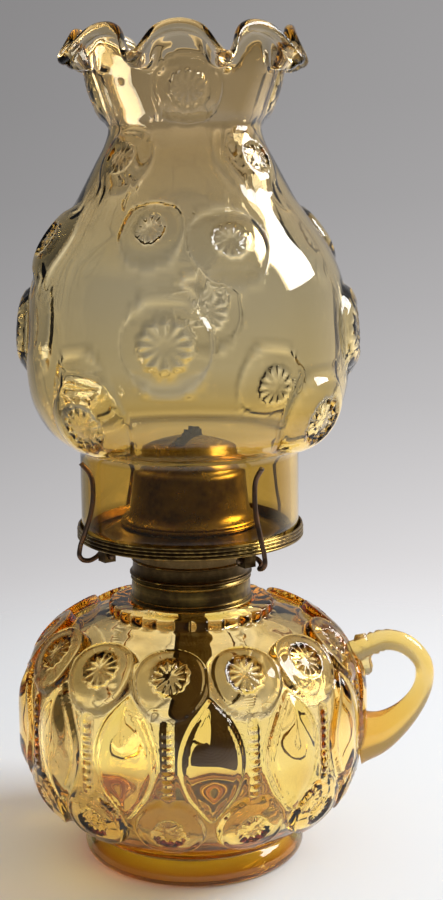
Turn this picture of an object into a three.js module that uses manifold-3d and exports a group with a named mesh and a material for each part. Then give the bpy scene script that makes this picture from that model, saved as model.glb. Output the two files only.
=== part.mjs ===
// Kerosene finger lamp: pressed-glass font with an applied handle, flat-wick brass burner and
// crimped glass chimney. Millimetres, +Z up. The camera side of the lamp is -Y. Azimuths are in
// degrees from -Y, positive towards +X, where the handle is.
import * as THREE from 'three';
import Module from 'manifold-3d';
import { mergeVertices } from 'three/addons/utils/BufferGeometryUtils.js';

const wasm = await Module();
wasm.setup();

// Driving dimensions, shared by pieces
const SEAT_GAP = 0.3;
const MERGE_DISTANCE = 0.0001;
const CUT_OVERRUN = 4;

// Font
const FONT_DIAMETER = 120;
const FONT_SHOULDER_Z = 88.2;
const FONT_WALL = 4.2;
const FONT_FLOOR = 5;
const FOOT_DIAMETER = 79.2;
const FOOT_HEIGHT = 9.2;
const FOOT_NECK_DIAMETER = 73.6;
const FOOT_HOLLOW_DIAMETER = 66;
const FOOT_RECESS = 7.6;
const MOUTH_DIAMETER = 35.8;
const NECK_DIAMETER = 38.8;
const NECK_HEIGHT = 6.6;
const CROWN_RING_DIAMETER = 57;
const CROWN_RING_HEIGHT = 3.6;
const CROWN_TEETH = 30;
const CROWN_TOOTH_DEPTH = 0.9;

// Pattern of the font: round moons, pointed ovals and lower moons, one of each per repeat
const FONT_REPEATS = 13;
const RELIEF_EDGE_SHARE = 0.3;
const DISH_SIDE_SHARE = 0.35;
const MOON_AZIMUTH = -8.1;
const OVAL_AZIMUTH = 5.7;
const MOON_Z = 77.6;
const MOON_RADIUS = 12.6;
const MOON_RELIEF = 2.7;
const MOON_DISH = 1.9;
const MOON_STAR = { starRadius: 6.5, starDepth: 0.9, starRise: 2.6 };
const OVAL_Z = 53.2;
const OVAL_HALF_WIDTH = 11;
const OVAL_HALF_HEIGHT = 21.6;
const OVAL_RELIEF = 2.3;
const LOWER_MOON_Z = 29;
const LOWER_MOON_RADIUS = 11.9;
const LOWER_MOON_RELIEF = 2.3;
const LOWER_MOON_DISH = 1.4;
const LOWER_STAR = { starRadius: 5.8, starDepth: 0.8 };

// Handle
const HANDLE_REACH = 86.7;
const HANDLE_ROD = 7.2;
const HANDLE_TOP_Z = 79.2;
const HANDLE_HEEL_Z = 28;
const CURL_LENGTH = 9;
const CURL_DIAMETER = 4.4;

// Collar and thread
const THREAD_DIAMETER = 31.75;
const COLLAR_DIAMETER = 42.2;
const COLLAR_HEIGHT = 9.3;
const COLLAR_BEAD = 0.55;
const COLLAR_SHEET = 0.8;

// Burner
const BRASS_SHEET = 0.8;
const CUP_DIAMETER = 42;
const CUP_HEIGHT = 10.4;
const CUP_BEAD = 0.6;
const SLEEVE_DEPTH = 7.4;
const GALLERY_CLEARANCE = 0.5;
const GALLERY_RISE = 4.1;
const GALLERY_RIM_HEIGHT = 3.6;
const GALLERY_BEAD = 0.5;
const GALLERY_CHANNEL = 4.2;
const GALLERY_CREST_RISE = 3.6;
const GALLERY_CREST_DIAMETER = 49.2;
const CONE_BASE_DIAMETER = 47.2;
const CONE_TOP_DIAMETER = 39.6;
const CONE_DRUM_HEIGHT = 19;
const CONE_DOME_DIAMETER = 34.6;
const CONE_DOME_RISE = 9.6;
const BLAZE_SLOT_LENGTH = 28;
const BLAZE_SLOT_WIDTH = 5.6;
const DIFFUSER_HOLE = 2.2;
const DIFFUSER_RINGS = [[0.48, 10], [0.7, 16]];
const DIFFUSER_STAGGER_SHARE = 0.5;

// Wick and its raiser
const WICK_AZIMUTH = 160;
const WICK_WIDTH = 25;
const WICK_THICKNESS = 2;
const WICK_BOTTOM_Z = 28;
const WICK_RISE = 37;
const TUBE_SHEET = 0.6;
const TUBE_CLEARANCE = 0.35;
const TUBE_DROP = 4.7;
const TUBE_RISE = 29.8;
const SHAFT_DIAMETER = 2.2;
const SHAFT_REACH = 45;
const SPUR_DIAMETER = 8;
const SPUR_WIDTH = 1.2;
const SPUR_COUNT = 3;
const SPUR_SPACING = 7;
const SPUR_TEETH = 12;
const SPUR_ROOT_SHARE = 0.78;
const HOUSING_LENGTH = 23;
const HOUSING_HEIGHT = 8.9;
const BUSHING_DIAMETER = 4.6;
const BUSHING_LENGTH = 6;
const WHEEL_DIAMETER = 15;
const WHEEL_WIDTH = 2.4;
const WHEEL_NOTCHES = 24;
const WHEEL_ROOT_SHARE = 0.94;
const WHEEL_HUB_DIAMETER = 5.6;
const WHEEL_HUB_LENGTH = 2;
const VENT_DIAMETER = 2.6;
const VENT_BORE = 1.4;
const VENT_RISE = 11.8;

// Prongs: azimuths of the contacts, and how many degrees the foot of each wire leans aside
const PRONG_AZIMUTHS = [33, -56, 122, -146];
const PRONG_LEAN_DEGREES = [3, -8, -4, 4];
const PRONG_WIRE = 1.7;
const PRONG_CONTACT_RISE = 19.8;
const PRONG_TIP_RISE = 29.2;
const PRONG_TIP_FLARE = 2.9;
const PRONG_LOOP_DROP = 2.4;
const PRONG_PIVOT_INSET = 4.2;
const PRONG_PIVOT_LENGTH = 7.6;
const CLIP_LENGTH = 4.4;
const CLIP_WALL = 1;

// Chimney
const FITTER_DIAMETER = 76.2;
const FITTER_HEIGHT = 31.2;
const CHIMNEY_WALL = 2.4;
const BULB_DIAMETER = 111.2;
const BULB_HEIGHT = 66.4;
const WAIST_DIAMETER = 51.4;
const WAIST_HEIGHT = 139.2;
const CHIMNEY_HEIGHT = 169.4;
const RIM_DIAMETER = 77;
const RIM_BEAD = 0.7;
const CRIMP_COUNT = 8;
const CRIMP_AZIMUTH = 19;
const CRIMP_DROP = 9.8;
const CRIMP_FOLD = 3.2;
const CRIMP_START_SHARE = 0.5;
const CRIMP_SHARPNESS = 5;

// Rows of bosses on the chimney, from the top down: azimuths, and shares of the chimney's height,
// of the bulb's radius and of the wall
const BOSS_REPEATS = 4;
const BOSS_AZIMUTHS = [2, -42, 17, -7, -38];
const bossHeightShares = [0.8914, 0.7586, 0.6039, 0.4238, 0.2668];
const bossRadiusShares = [0.205, 0.2014, 0.241, 0.2662, 0.2734];
const bossReliefShares = [0.583, 0.917, 1.25, 1.667, 1.417];

// Facets
const FONT_FACETS = 117;
const FONT_ROWS = 26;
const CHIMNEY_FACETS = 48;
const CHIMNEY_ROWS = 27;
const METAL_FACETS = 32;
const SMALL_FACETS = 10;
const HOLE_SIDES = 6;
const WIRE_SIDES = 6;
const HANDLE_SIDES = 10;
const WIRE_STEPS = 24;
const HANDLE_STEPS = 18;

// Places that follow from the sizes
const fontRadius = FONT_DIAMETER / 2;
const crownTopZ = FONT_SHOULDER_Z + CROWN_RING_HEIGHT;
const neckTopZ = crownTopZ + NECK_HEIGHT;
const collarBottomZ = crownTopZ + SEAT_GAP;
const collarTopZ = collarBottomZ + COLLAR_HEIGHT;
const threadRadius = THREAD_DIAMETER / 2;
const cupFloorZ = collarTopZ + SEAT_GAP;
const cupTopZ = cupFloorZ + CUP_HEIGHT;
const cupRadius = CUP_DIAMETER / 2;
const galleryFloorZ = cupTopZ + GALLERY_RISE;
const galleryCrestZ = galleryFloorZ + GALLERY_CREST_RISE;
const wickTopZ = galleryFloorZ + WICK_RISE;
const tubeBottomZ = cupFloorZ - TUBE_DROP;
const tubeTopZ = galleryFloorZ + TUBE_RISE;
const ventTopZ = galleryFloorZ + VENT_RISE;
const prongContactZ = galleryFloorZ + PRONG_CONTACT_RISE;
const prongTipZ = galleryFloorZ + PRONG_TIP_RISE;
const fitterRadius = FITTER_DIAMETER / 2;
const galleryInnerRadius = fitterRadius + GALLERY_CLEARANCE;
const rimOuterRadius = galleryInnerRadius + BRASS_SHEET + GALLERY_BEAD;
const chimneyBottomZ = galleryFloorZ + SEAT_GAP;
const coneBaseZ = galleryCrestZ + SEAT_GAP;
const diffuserZ = cupTopZ + SEAT_GAP + BRASS_SHEET + SEAT_GAP;
const shaftZ = cupFloorZ + BRASS_SHEET + SEAT_GAP + (HOUSING_HEIGHT + TUBE_SHEET) / 2;
const tubeHalfThickness = WICK_THICKNESS / 2 + TUBE_CLEARANCE;
const tubeOuterHalf = tubeHalfThickness + TUBE_SHEET;
const shaftOffset = WICK_THICKNESS / 2 + SEAT_GAP + SPUR_DIAMETER / 2;
const ventOffset = tubeOuterHalf + SEAT_GAP + VENT_DIAMETER / 2;
const pivotRadius = galleryInnerRadius - PRONG_PIVOT_INSET;
const clipTopZ = galleryFloorZ - BRASS_SHEET - SEAT_GAP;
const pivotZ = clipTopZ - CLIP_WALL - PRONG_WIRE / 2 - SEAT_GAP;

// Finishes
const AMBER = { color: 0xd9a441, roughness: 0.08, metalness: 0 };
const PALE_AMBER = { color: 0xb9a468, roughness: 0.06, metalness: 0 };
const HONEY = { color: 0xe6c46a, roughness: 0.1, metalness: 0 };
const AGED_BRASS = { color: 0x6b5424, roughness: 0.4, metalness: 0.9 };
const BRIGHT_BRASS = { color: 0xa8842f, roughness: 0.35, metalness: 0.9 };
const DARK_STEEL = { color: 0x3a3330, roughness: 0.45, metalness: 0.9 };
const PLASTER = { color: 0xd8d2c4, roughness: 0.95, metalness: 0 };
const COTTON = { color: 0xcfc3a6, roughness: 1, metalness: 0 };

function radians(degrees) {
  return THREE.MathUtils.degToRad(degrees);
}

function point(r, z) {
  return new THREE.Vector2(r, z);
}

// A point in space from an azimuth, a radius and a height
function around(azimuth, radius, z) {
  const angle = radians(azimuth);
  return new THREE.Vector3(radius * Math.sin(angle), -radius * Math.cos(angle), z);
}

function polygon(radius, sides, x, y) {
  return Array.from({ length: sides }, (_, k) => {
    const turn = 2 * Math.PI * k / sides;
    return point(x + radius * Math.cos(turn), y + radius * Math.sin(turn));
  });
}

// Merge shared vertices, drop the triangles that a pole flattens and turn the faces out
function closedBody(geometry) {
  geometry.deleteAttribute('normal');
  geometry.deleteAttribute('uv');
  const merged = mergeVertices(geometry, MERGE_DISTANCE);
  const position = merged.getAttribute('position');
  const kept = [];
  const corner = [0, 1, 2].map(() => new THREE.Vector3());
  let volume = 0;
  for (let i = 0; i < merged.index.count; i += 3) {
    const ids = [0, 1, 2].map((k) => merged.index.getX(i + k));
    if (ids[0] === ids[1] || ids[1] === ids[2] || ids[2] === ids[0]) continue;
    ids.forEach((id, k) => corner[k].fromBufferAttribute(position, id));
    volume += corner[0].dot(corner[1].clone().cross(corner[2]));
    kept.push(...ids);
  }
  if (volume < 0) kept.reverse();
  merged.setIndex(kept);
  merged.computeVertexNormals();
  return merged;
}

// Spin an outline of (radius, height) points from a starting azimuth. shape(row, azimuth) gives
// the place of a row's point there.
function turned(outline, facets, start = 0, shape = (row) => outline[row]) {
  const geometry = new THREE.LatheGeometry(outline, facets);
  const position = geometry.getAttribute('position');
  for (let i = 0; i < position.count; i += 1) {
    const facet = Math.floor(i / outline.length) % facets;
    const azimuth = start + facet * 360 / facets;
    const moved = shape(i % outline.length, azimuth);
    const place = around(azimuth, moved.x, moved.y);
    position.setXYZ(i, place.x, place.y, place.z);
  }
  return closedBody(geometry);
}

function ring(outline, facets, start, shape) {
  return turned([...outline, outline[0].clone()], facets, start, shape);
}

// Unit normals of a path of (radius, height) points, to the right of its direction
function pathNormals(path) {
  return path.map((here, i) => {
    const before = path[Math.max(i - 1, 0)];
    const after = path[Math.min(i + 1, path.length - 1)];
    const along = after.clone().sub(before).normalize();
    return point(along.y, -along.x);
  });
}

function offsetPath(path, distance) {
  const normals = pathNormals(path);
  return path.map((here, i) => here.clone().addScaledVector(normals[i], distance));
}

// The closed outline of a sheet of even thickness along a path
function sheetOutline(path, thickness) {
  const outer = offsetPath(path, thickness / 2);
  const inner = offsetPath(path, -thickness / 2);
  return [...outer, ...inner.reverse()];
}

// A smooth run of points through a few chosen ones
function smooth(points, count) {
  return new THREE.SplineCurve(points).getPoints(count);
}

function toManifold(geometry) {
  const vertProperties = new Float32Array(geometry.getAttribute('position').array);
  const triVerts = new Uint32Array(geometry.index.array);
  return new wasm.Manifold(new wasm.Mesh({ numProp: 3, vertProperties, triVerts }));
}

function fromManifold(manifold) {
  const mesh = manifold.getMesh();
  const geometry = new THREE.BufferGeometry();
  geometry.setAttribute('position', new THREE.BufferAttribute(new Float32Array(mesh.vertProperties), 3));
  geometry.setIndex([...mesh.triVerts]);
  return closedBody(geometry);
}

function cut(geometry, tools) {
  const rest = tools.reduce((whole, tool) => whole.subtract(toManifold(tool)), toManifold(geometry));
  return fromManifold(rest);
}

function join(geometries) {
  const [first, ...others] = geometries.map(toManifold);
  return fromManifold(others.reduce((whole, other) => whole.add(other), first));
}

function block(width, depth, height) {
  return closedBody(new THREE.BoxGeometry(width, depth, height));
}

// A bar with its axis along +Y, centred on the origin
function bar(diameter, length, sides) {
  return closedBody(new THREE.CylinderGeometry(diameter / 2, diameter / 2, length, sides));
}

// A closed skin over rings of equal point counts, with a fan on each end
function loft(rings) {
  const sides = rings[0].length;
  const flat = rings.flat();
  const first = flat.length;
  const centre = (list) => list.reduce((sum, p) => sum.add(p), new THREE.Vector3()).divideScalar(sides);
  const all = [...flat, centre(rings[0]), centre(rings[rings.length - 1])];
  const index = [];
  for (let i = 0; i < rings.length - 1; i += 1) {
    for (let j = 0; j < sides; j += 1) {
      const a = i * sides + j;
      const b = i * sides + (j + 1) % sides;
      index.push(a, b, b + sides, a, b + sides, a + sides);
    }
  }
  for (let j = 0; j < sides; j += 1) {
    const k = (j + 1) % sides;
    const last = (rings.length - 1) * sides;
    index.push(first, k, j, first + 1, last + j, last + k);
  }
  const geometry = new THREE.BufferGeometry().setFromPoints(all);
  geometry.setIndex(index);
  return closedBody(geometry);
}

// Relief: domes and pointed lenses raised along the normals of a profile
function arcLengths(path) {
  const lengths = [0];
  for (let i = 1; i < path.length; i += 1) lengths.push(lengths[i - 1] + path[i].distanceTo(path[i - 1]));
  return lengths;
}

function nearestRow(path, z) {
  return path.reduce((best, p, i) => (Math.abs(p.y - z) < Math.abs(path[best].y - z) ? i : best), 0);
}

function arcAtHeight(path, lengths, z) {
  const i = nearestRow(path, z);
  const j = path[i].y < z ? i + 1 : i - 1;
  const share = (z - path[i].y) / (path[j].y - path[i].y);
  return lengths[i] + share * (lengths[j] - lengths[i]);
}

function wrapped(degrees) {
  return THREE.MathUtils.euclideanModulo(degrees + 180, 360) - 180;
}

// Height of the relief at a row and an azimuth. Discs may be dished and hold a sunk star
function reliefField(path, features) {
  const lengths = arcLengths(path);
  const plain = { dish: 0, starRadius: 1, starDepth: 0, starRise: 0 };
  const placed = features.map((feature) => ({
    ...plain,
    ...feature,
    arc: arcAtHeight(path, lengths, feature.z),
    radiusThere: path[nearestRow(path, feature.z)].x,
  }));
  return (row, azimuth) => placed.reduce((height, f) => {
    const step = 360 / f.repeats;
    const turn = wrapped((azimuth - f.azimuth) * f.repeats) / f.repeats;
    if (Math.abs(turn) > step / 2) return height;
    const across = Math.abs(radians(turn)) * f.radiusThere / f.halfWidth;
    const up = lengths[row] - f.arc;
    const along = up / f.halfHeight;
    const reach = f.pointed ? across + along * along : Math.hypot(across, along);
    const rise = Math.min((1 - reach * reach) / RELIEF_EDGE_SHARE, 1);
    const sag = f.dish * (1 - along * along - DISH_SIDE_SHARE * across * across);
    const star = Math.hypot(across * f.halfWidth, up - f.starRise) / f.starRadius;
    const sunk = f.starDepth * Math.max(1 - star * star, 0);
    return Math.max(height, (f.relief - sag) * rise - sunk);
  }, 0);
}

// Font

// Shares of the bowl's height, and of the font's radius, from the foot's neck to the shoulder
const bowlShares = [
  [0.023, 0.636], [0.092, 0.777], [0.225, 0.926], [0.39, 0.995], [0.516, 1], [0.656, 0.997],
  [0.732, 0.978], [0.795, 0.937], [0.852, 0.886], [0.902, 0.81], [0.947, 0.7], [0.978, 0.58],
];
// Shares of the foot's height and of its flare between the neck and the rim
const footShares = [[0, 0.42], [0.12, 0.8], [0.4, 1], [0.68, 0.8], [0.86, 0.3]];

function bowlPath() {
  const rise = FONT_SHOULDER_Z - FOOT_HEIGHT;
  const neck = point(FOOT_NECK_DIAMETER / 2, FOOT_HEIGHT);
  const bowl = bowlShares.map(([h, r]) => point(r * fontRadius, FOOT_HEIGHT + h * rise));
  const top = point(CROWN_RING_DIAMETER / 2 + CROWN_TOOTH_DEPTH, FONT_SHOULDER_Z);
  return smooth([neck, ...bowl, top], FONT_ROWS);
}

function footPath() {
  const neckRadius = FOOT_NECK_DIAMETER / 2;
  const flare = FOOT_DIAMETER / 2 - neckRadius;
  return footShares.map(([h, r]) => point(neckRadius + r * flare, h * FOOT_HEIGHT));
}

function fontFeatures() {
  const shared = { repeats: FONT_REPEATS };
  return [
    { ...shared, azimuth: MOON_AZIMUTH, z: MOON_Z, halfWidth: MOON_RADIUS, halfHeight: MOON_RADIUS,
      relief: MOON_RELIEF, dish: MOON_DISH, ...MOON_STAR },
    { ...shared, azimuth: OVAL_AZIMUTH, z: OVAL_Z, halfWidth: OVAL_HALF_WIDTH,
      halfHeight: OVAL_HALF_HEIGHT, relief: OVAL_RELIEF, pointed: true },
    { ...shared, azimuth: MOON_AZIMUTH, z: LOWER_MOON_Z, halfWidth: LOWER_MOON_RADIUS,
      halfHeight: LOWER_MOON_RADIUS, relief: LOWER_MOON_RELIEF, dish: LOWER_MOON_DISH, ...LOWER_STAR },
  ];
}

function fontGeometry() {
  const foot = footPath();
  const bowl = bowlPath();
  const normals = pathNormals(bowl);
  const relief = reliefField(bowl, fontFeatures());
  const crownRadius = CROWN_RING_DIAMETER / 2;
  const neckRadius = NECK_DIAMETER / 2;
  const mouthRadius = MOUTH_DIAMETER / 2;
  const crown = [
    point(crownRadius, FONT_SHOULDER_Z), point(crownRadius, crownTopZ),
    point(crownRadius - CROWN_RING_HEIGHT, crownTopZ), point(neckRadius, crownTopZ),
    point(neckRadius, neckTopZ), point(mouthRadius, neckTopZ),
  ];
  const cavityRadius = fontRadius - FONT_WALL;
  const floorZ = FOOT_RECESS + FONT_FLOOR;
  const cavityRise = FONT_SHOULDER_Z - FONT_WALL - floorZ;
  // Shares of the cavity's height and radius, from the mouth down to the floor
  const cavityShares = [
    [1, 0.42], [0.96, 0.62], [0.86, 0.86], [0.72, 0.97], [0.5, 1], [0.3, 0.97], [0.12, 0.86], [0.02, 0.7],
  ];
  const cavity = cavityShares.map(([h, r]) => point(r * cavityRadius, floorZ + h * cavityRise));
  const recess = point(FOOT_HOLLOW_DIAMETER / 2, FOOT_RECESS);
  const recessEdge = point(FOOT_HOLLOW_DIAMETER / 2 + SEAT_GAP, 0);
  const outline = [
    point(0, FOOT_RECESS), recess, recessEdge, ...foot, ...bowl, ...crown,
    point(mouthRadius, crownTopZ - FONT_WALL), ...cavity, point(0, floorZ),
  ];
  const bowlStart = 3 + foot.length;
  const crownStart = bowlStart + bowl.length;
  const toothed = (row) => row === crownStart || row === crownStart + 1;
  return turned(outline, FONT_FACETS, MOON_AZIMUTH, (row, azimuth) => {
    const here = outline[row].clone();
    const i = row - bowlStart;
    if (i >= 0 && i < bowl.length) here.addScaledVector(normals[i], relief(i, azimuth));
    const tooth = Math.cos(radians((azimuth - MOON_AZIMUTH) * CROWN_TEETH)) / 2;
    if (toothed(row)) here.x += CROWN_TOOTH_DEPTH * tooth;
    return here;
  });
}

// The space that the font takes up, with a gap round it, for cutting what meets the bowl
function fontEnvelope(gap) {
  const bowl = bowlPath();
  const normals = pathNormals(bowl);
  const relief = reliefField(bowl, fontFeatures());
  const outline = [point(0, bowl[0].y), ...bowl, point(0, bowl[bowl.length - 1].y + gap)];
  return turned(outline, FONT_FACETS, MOON_AZIMUTH, (row, azimuth) => {
    const here = outline[row].clone();
    const i = row - 1;
    if (i >= 0 && i < bowl.length) here.addScaledVector(normals[i], relief(i, azimuth) + gap);
    return here;
  });
}

// Handle: rod radius shares along the loop, with places as shares of its reach and height
const handleShares = [
  { out: -0.14, up: 0.84, thick: 1.15, wide: 1.1 },
  { out: 0.1, up: 0.885, thick: 1.05, wide: 1.05 },
  { out: 0.36, up: 0.925, thick: 1.03, wide: 1 },
  { out: 0.63, up: 0.885, thick: 0.98, wide: 1 },
  { out: 0.83, up: 0.775, thick: 0.92, wide: 1 },
  { out: 0.874, up: 0.655, thick: 0.92, wide: 1 },
  { out: 0.815, up: 0.53, thick: 1, wide: 1.05 },
  { out: 0.65, up: 0.405, thick: 1.28, wide: 1.2 },
  { out: 0.42, up: 0.305, thick: 1.8, wide: 1.4 },
  { out: 0.17, up: 0.245, thick: 2.5, wide: 1.6 },
  { out: -0.1, up: 0.22, thick: 3.1, wide: 1.8 },
];

function handlePlace(share) {
  const reach = HANDLE_REACH - fontRadius;
  const height = HANDLE_TOP_Z - HANDLE_HEEL_Z;
  return new THREE.Vector3(fontRadius + share.out * reach, 0, HANDLE_HEEL_Z + share.up * height);
}

function handleGeometry() {
  const curve = new THREE.CatmullRomCurve3(handleShares.map(handlePlace));
  const rings = [];
  for (let i = 0; i <= HANDLE_STEPS; i += 1) {
    const t = i / HANDLE_STEPS;
    const at = t * (handleShares.length - 1);
    const low = Math.min(Math.floor(at), handleShares.length - 2);
    const mix = (key) => THREE.MathUtils.lerp(handleShares[low][key], handleShares[low + 1][key], at - low);
    const centre = curve.getPoint(t);
    const along = curve.getTangent(t);
    const across = new THREE.Vector3(-along.z, 0, along.x);
    const thick = mix('thick') * HANDLE_ROD / 2;
    const wide = mix('wide') * HANDLE_ROD / 2;
    rings.push(Array.from({ length: HANDLE_SIDES }, (_, k) => {
      const turn = 2 * Math.PI * k / HANDLE_SIDES;
      const place = centre.clone().addScaledVector(across, thick * Math.cos(turn));
      place.y += wide * Math.sin(turn);
      return place;
    }));
  }
  const curlTop = handlePlace({ out: 0.09, up: 0.88 });
  const curlRings = [[0, 0.8], [0.3, 1], [0.7, 0.85], [0.93, 0.6], [1, 0.3]].map(([down, size]) => {
    return Array.from({ length: SMALL_FACETS }, (_, k) => {
      const turn = 2 * Math.PI * k / SMALL_FACETS;
      const radius = size * CURL_DIAMETER / 2;
      return new THREE.Vector3(
        curlTop.x + radius * Math.cos(turn),
        radius * Math.sin(turn),
        curlTop.z - down * CURL_LENGTH,
      );
    });
  });
  return cut(join([loft(rings), loft(curlRings)]), [fontEnvelope(SEAT_GAP)]);
}

// Collar: an inverted channel of sheet, with beads at its foot and top, over a plaster bed
const collarOuter = COLLAR_DIAMETER / 2;
const collarBoreRadius = threadRadius + SEAT_GAP;

function collarGeometry() {
  const inside = collarOuter - COLLAR_SHEET;
  const wall = collarBoreRadius + COLLAR_SHEET;
  const bead = COLLAR_BEAD;
  return ring([
    point(collarOuter, collarBottomZ), point(collarOuter + bead, collarBottomZ + bead),
    point(collarOuter, collarBottomZ + 2 * bead), point(collarOuter, collarBottomZ + 3 * bead),
    point(collarOuter + bead / 2, collarBottomZ + 4 * bead), point(collarOuter, collarBottomZ + 5 * bead),
    point(collarOuter - bead / 2, collarTopZ - bead), point(collarOuter - bead, collarTopZ),
    point(collarBoreRadius, collarTopZ), point(collarBoreRadius, collarBottomZ + bead),
    point(wall, collarBottomZ + bead), point(wall, collarTopZ - COLLAR_SHEET),
    point(inside, collarTopZ - COLLAR_SHEET), point(inside, collarBottomZ),
  ], METAL_FACETS);
}

function plasterGeometry() {
  const outer = collarOuter - COLLAR_SHEET - SEAT_GAP;
  const inner = collarBoreRadius + COLLAR_SHEET + SEAT_GAP;
  const neck = NECK_DIAMETER / 2 + SEAT_GAP;
  const top = collarTopZ - COLLAR_SHEET - SEAT_GAP;
  const step = neckTopZ + SEAT_GAP;
  return ring([
    point(outer, collarBottomZ), point(outer, top), point(inner, top), point(inner, step),
    point(neck, step), point(neck, collarBottomZ),
  ], METAL_FACETS);
}

// Local frame of the wick: x along its width, y through its thickness
function wickFrame() {
  const group = new THREE.Group();
  group.rotation.z = radians(WICK_AZIMUTH - 90);
  group.updateMatrixWorld();
  return group;
}

function inWickFrame(geometry) {
  return geometry.clone().applyMatrix4(wickFrame().matrixWorld);
}

function tubeHole(bottomZ, topZ) {
  const width = WICK_WIDTH + 2 * (TUBE_CLEARANCE + TUBE_SHEET + SEAT_GAP);
  const hole = block(width, 2 * (tubeOuterHalf + SEAT_GAP), topZ - bottomZ + 2 * CUT_OVERRUN);
  return inWickFrame(hole.translate(0, 0, (bottomZ + topZ) / 2));
}

function ventHole(bottomZ, topZ) {
  const hole = bar(VENT_DIAMETER + 2 * SEAT_GAP, topZ - bottomZ + 2 * CUT_OVERRUN, SMALL_FACETS);
  hole.rotateX(Math.PI / 2);
  return inWickFrame(hole.translate(0, -ventOffset, (bottomZ + topZ) / 2));
}

// Where the shaft's line leaves a wall of the given radius, measured along the wick's width
function shaftExit(radius) {
  return Math.sqrt(radius * radius - shaftOffset * shaftOffset);
}

function burnerCupGeometry() {
  const bottom = cupFloorZ - SLEEVE_DEPTH;
  const bore = threadRadius - BRASS_SHEET;
  const bead = CUP_BEAD;
  const floorTop = cupFloorZ + BRASS_SHEET;
  const inner = cupRadius - BRASS_SHEET;
  const outline = [
    point(0, cupFloorZ), point(bore, cupFloorZ), point(bore, bottom), point(threadRadius, bottom),
    point(threadRadius, cupFloorZ), point(cupRadius, cupFloorZ), point(cupRadius + bead, cupFloorZ + bead),
    point(cupRadius, cupFloorZ + 2 * bead), point(cupRadius - bead, cupFloorZ + 3 * bead),
    point(cupRadius - bead / 2, cupFloorZ + CUP_HEIGHT / 2), point(cupRadius, cupTopZ),
    point(inner, cupTopZ), point(inner - bead, cupFloorZ + CUP_HEIGHT / 2),
    point(inner - bead, floorTop), point(0, floorTop),
  ];
  const shaftHole = bar(BUSHING_DIAMETER + 2 * SEAT_GAP, 2 * BUSHING_LENGTH, SMALL_FACETS);
  shaftHole.rotateZ(Math.PI / 2).translate(shaftExit(cupRadius), shaftOffset, shaftZ);
  return cut(turned(outline, METAL_FACETS), [
    tubeHole(cupFloorZ, floorTop), ventHole(cupFloorZ, floorTop), inWickFrame(shaftHole),
  ]);
}

// Gallery: dished sheet from the cup's edge over a crest to the chimney's channel and beaded rim
function galleryGeometry() {
  const half = BRASS_SHEET / 2;
  const crest = GALLERY_CREST_DIAMETER / 2;
  const channel = galleryInnerRadius - GALLERY_CHANNEL;
  const wall = galleryInnerRadius + half;
  const flangeZ = cupTopZ + SEAT_GAP + half;
  const floorZ = galleryFloorZ - half;
  const crestZ = galleryCrestZ - half;
  const rimZ = galleryFloorZ + GALLERY_RIM_HEIGHT;
  const path = [
    point(cupRadius - CUP_BEAD, flangeZ), point(crest - 2 * BRASS_SHEET, flangeZ),
    point(crest - BRASS_SHEET, crestZ - BRASS_SHEET), point(crest, crestZ),
    point(crest + BRASS_SHEET, crestZ - half), point(channel, floorZ), point(wall - half, floorZ),
    point(wall, floorZ + half),
  ];
  const base = sheetOutline(path, BRASS_SHEET);
  const middle = path.length;
  const outer = galleryInnerRadius + BRASS_SHEET;
  const bead = GALLERY_BEAD;
  const rise = (rimZ - galleryFloorZ) / 6;
  const rim = [0, 1, 2, 3, 4, 5, 6].map((k) => {
    return point(outer + (k % 2 ? bead : 0), galleryFloorZ + k * rise);
  });
  return ring([
    ...base.slice(0, middle), ...rim, point(galleryInnerRadius, rimZ), ...base.slice(middle),
  ], METAL_FACETS);
}

// Cone: tapered drum on a beaded foot, a rounded shoulder and a dome with the blaze slot
function coneGeometry() {
  const base = CONE_BASE_DIAMETER / 2;
  const top = CONE_TOP_DIAMETER / 2;
  const dome = CONE_DOME_DIAMETER / 2;
  const half = BRASS_SHEET / 2;
  const drumTop = coneBaseZ + CONE_DRUM_HEIGHT;
  const sheet = BRASS_SHEET;
  const domeBase = drumTop + sheet;
  const arc = [0, 1, 2, 3, 4].map((k) => {
    const turn = Math.PI / 2 * k / 5;
    return point(dome * Math.cos(turn), domeBase + sheet + CONE_DOME_RISE * Math.sin(turn));
  });
  const path = [
    point(base + half, coneBaseZ + half), point(base, coneBaseZ + 2 * sheet),
    point(base - half, coneBaseZ + 3 * sheet), point(top, drumTop - 2 * sheet),
    point(top - half, drumTop - sheet / 2), point(top - 1.5 * sheet, drumTop + half),
    point(dome + sheet, domeBase), ...arc,
  ];
  const outer = offsetPath(path, half);
  const inner = offsetPath(path, -half);
  const crown = domeBase + sheet + CONE_DOME_RISE;
  const outline = [...outer, point(0, crown + half), point(0, crown - half), ...inner.reverse()];
  const slot = block(BLAZE_SLOT_LENGTH, BLAZE_SLOT_WIDTH, CONE_DOME_RISE + CUT_OVERRUN);
  slot.translate(0, 0, crown);
  return cut(ring(outline, METAL_FACETS), [inWickFrame(slot)]);
}

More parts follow.
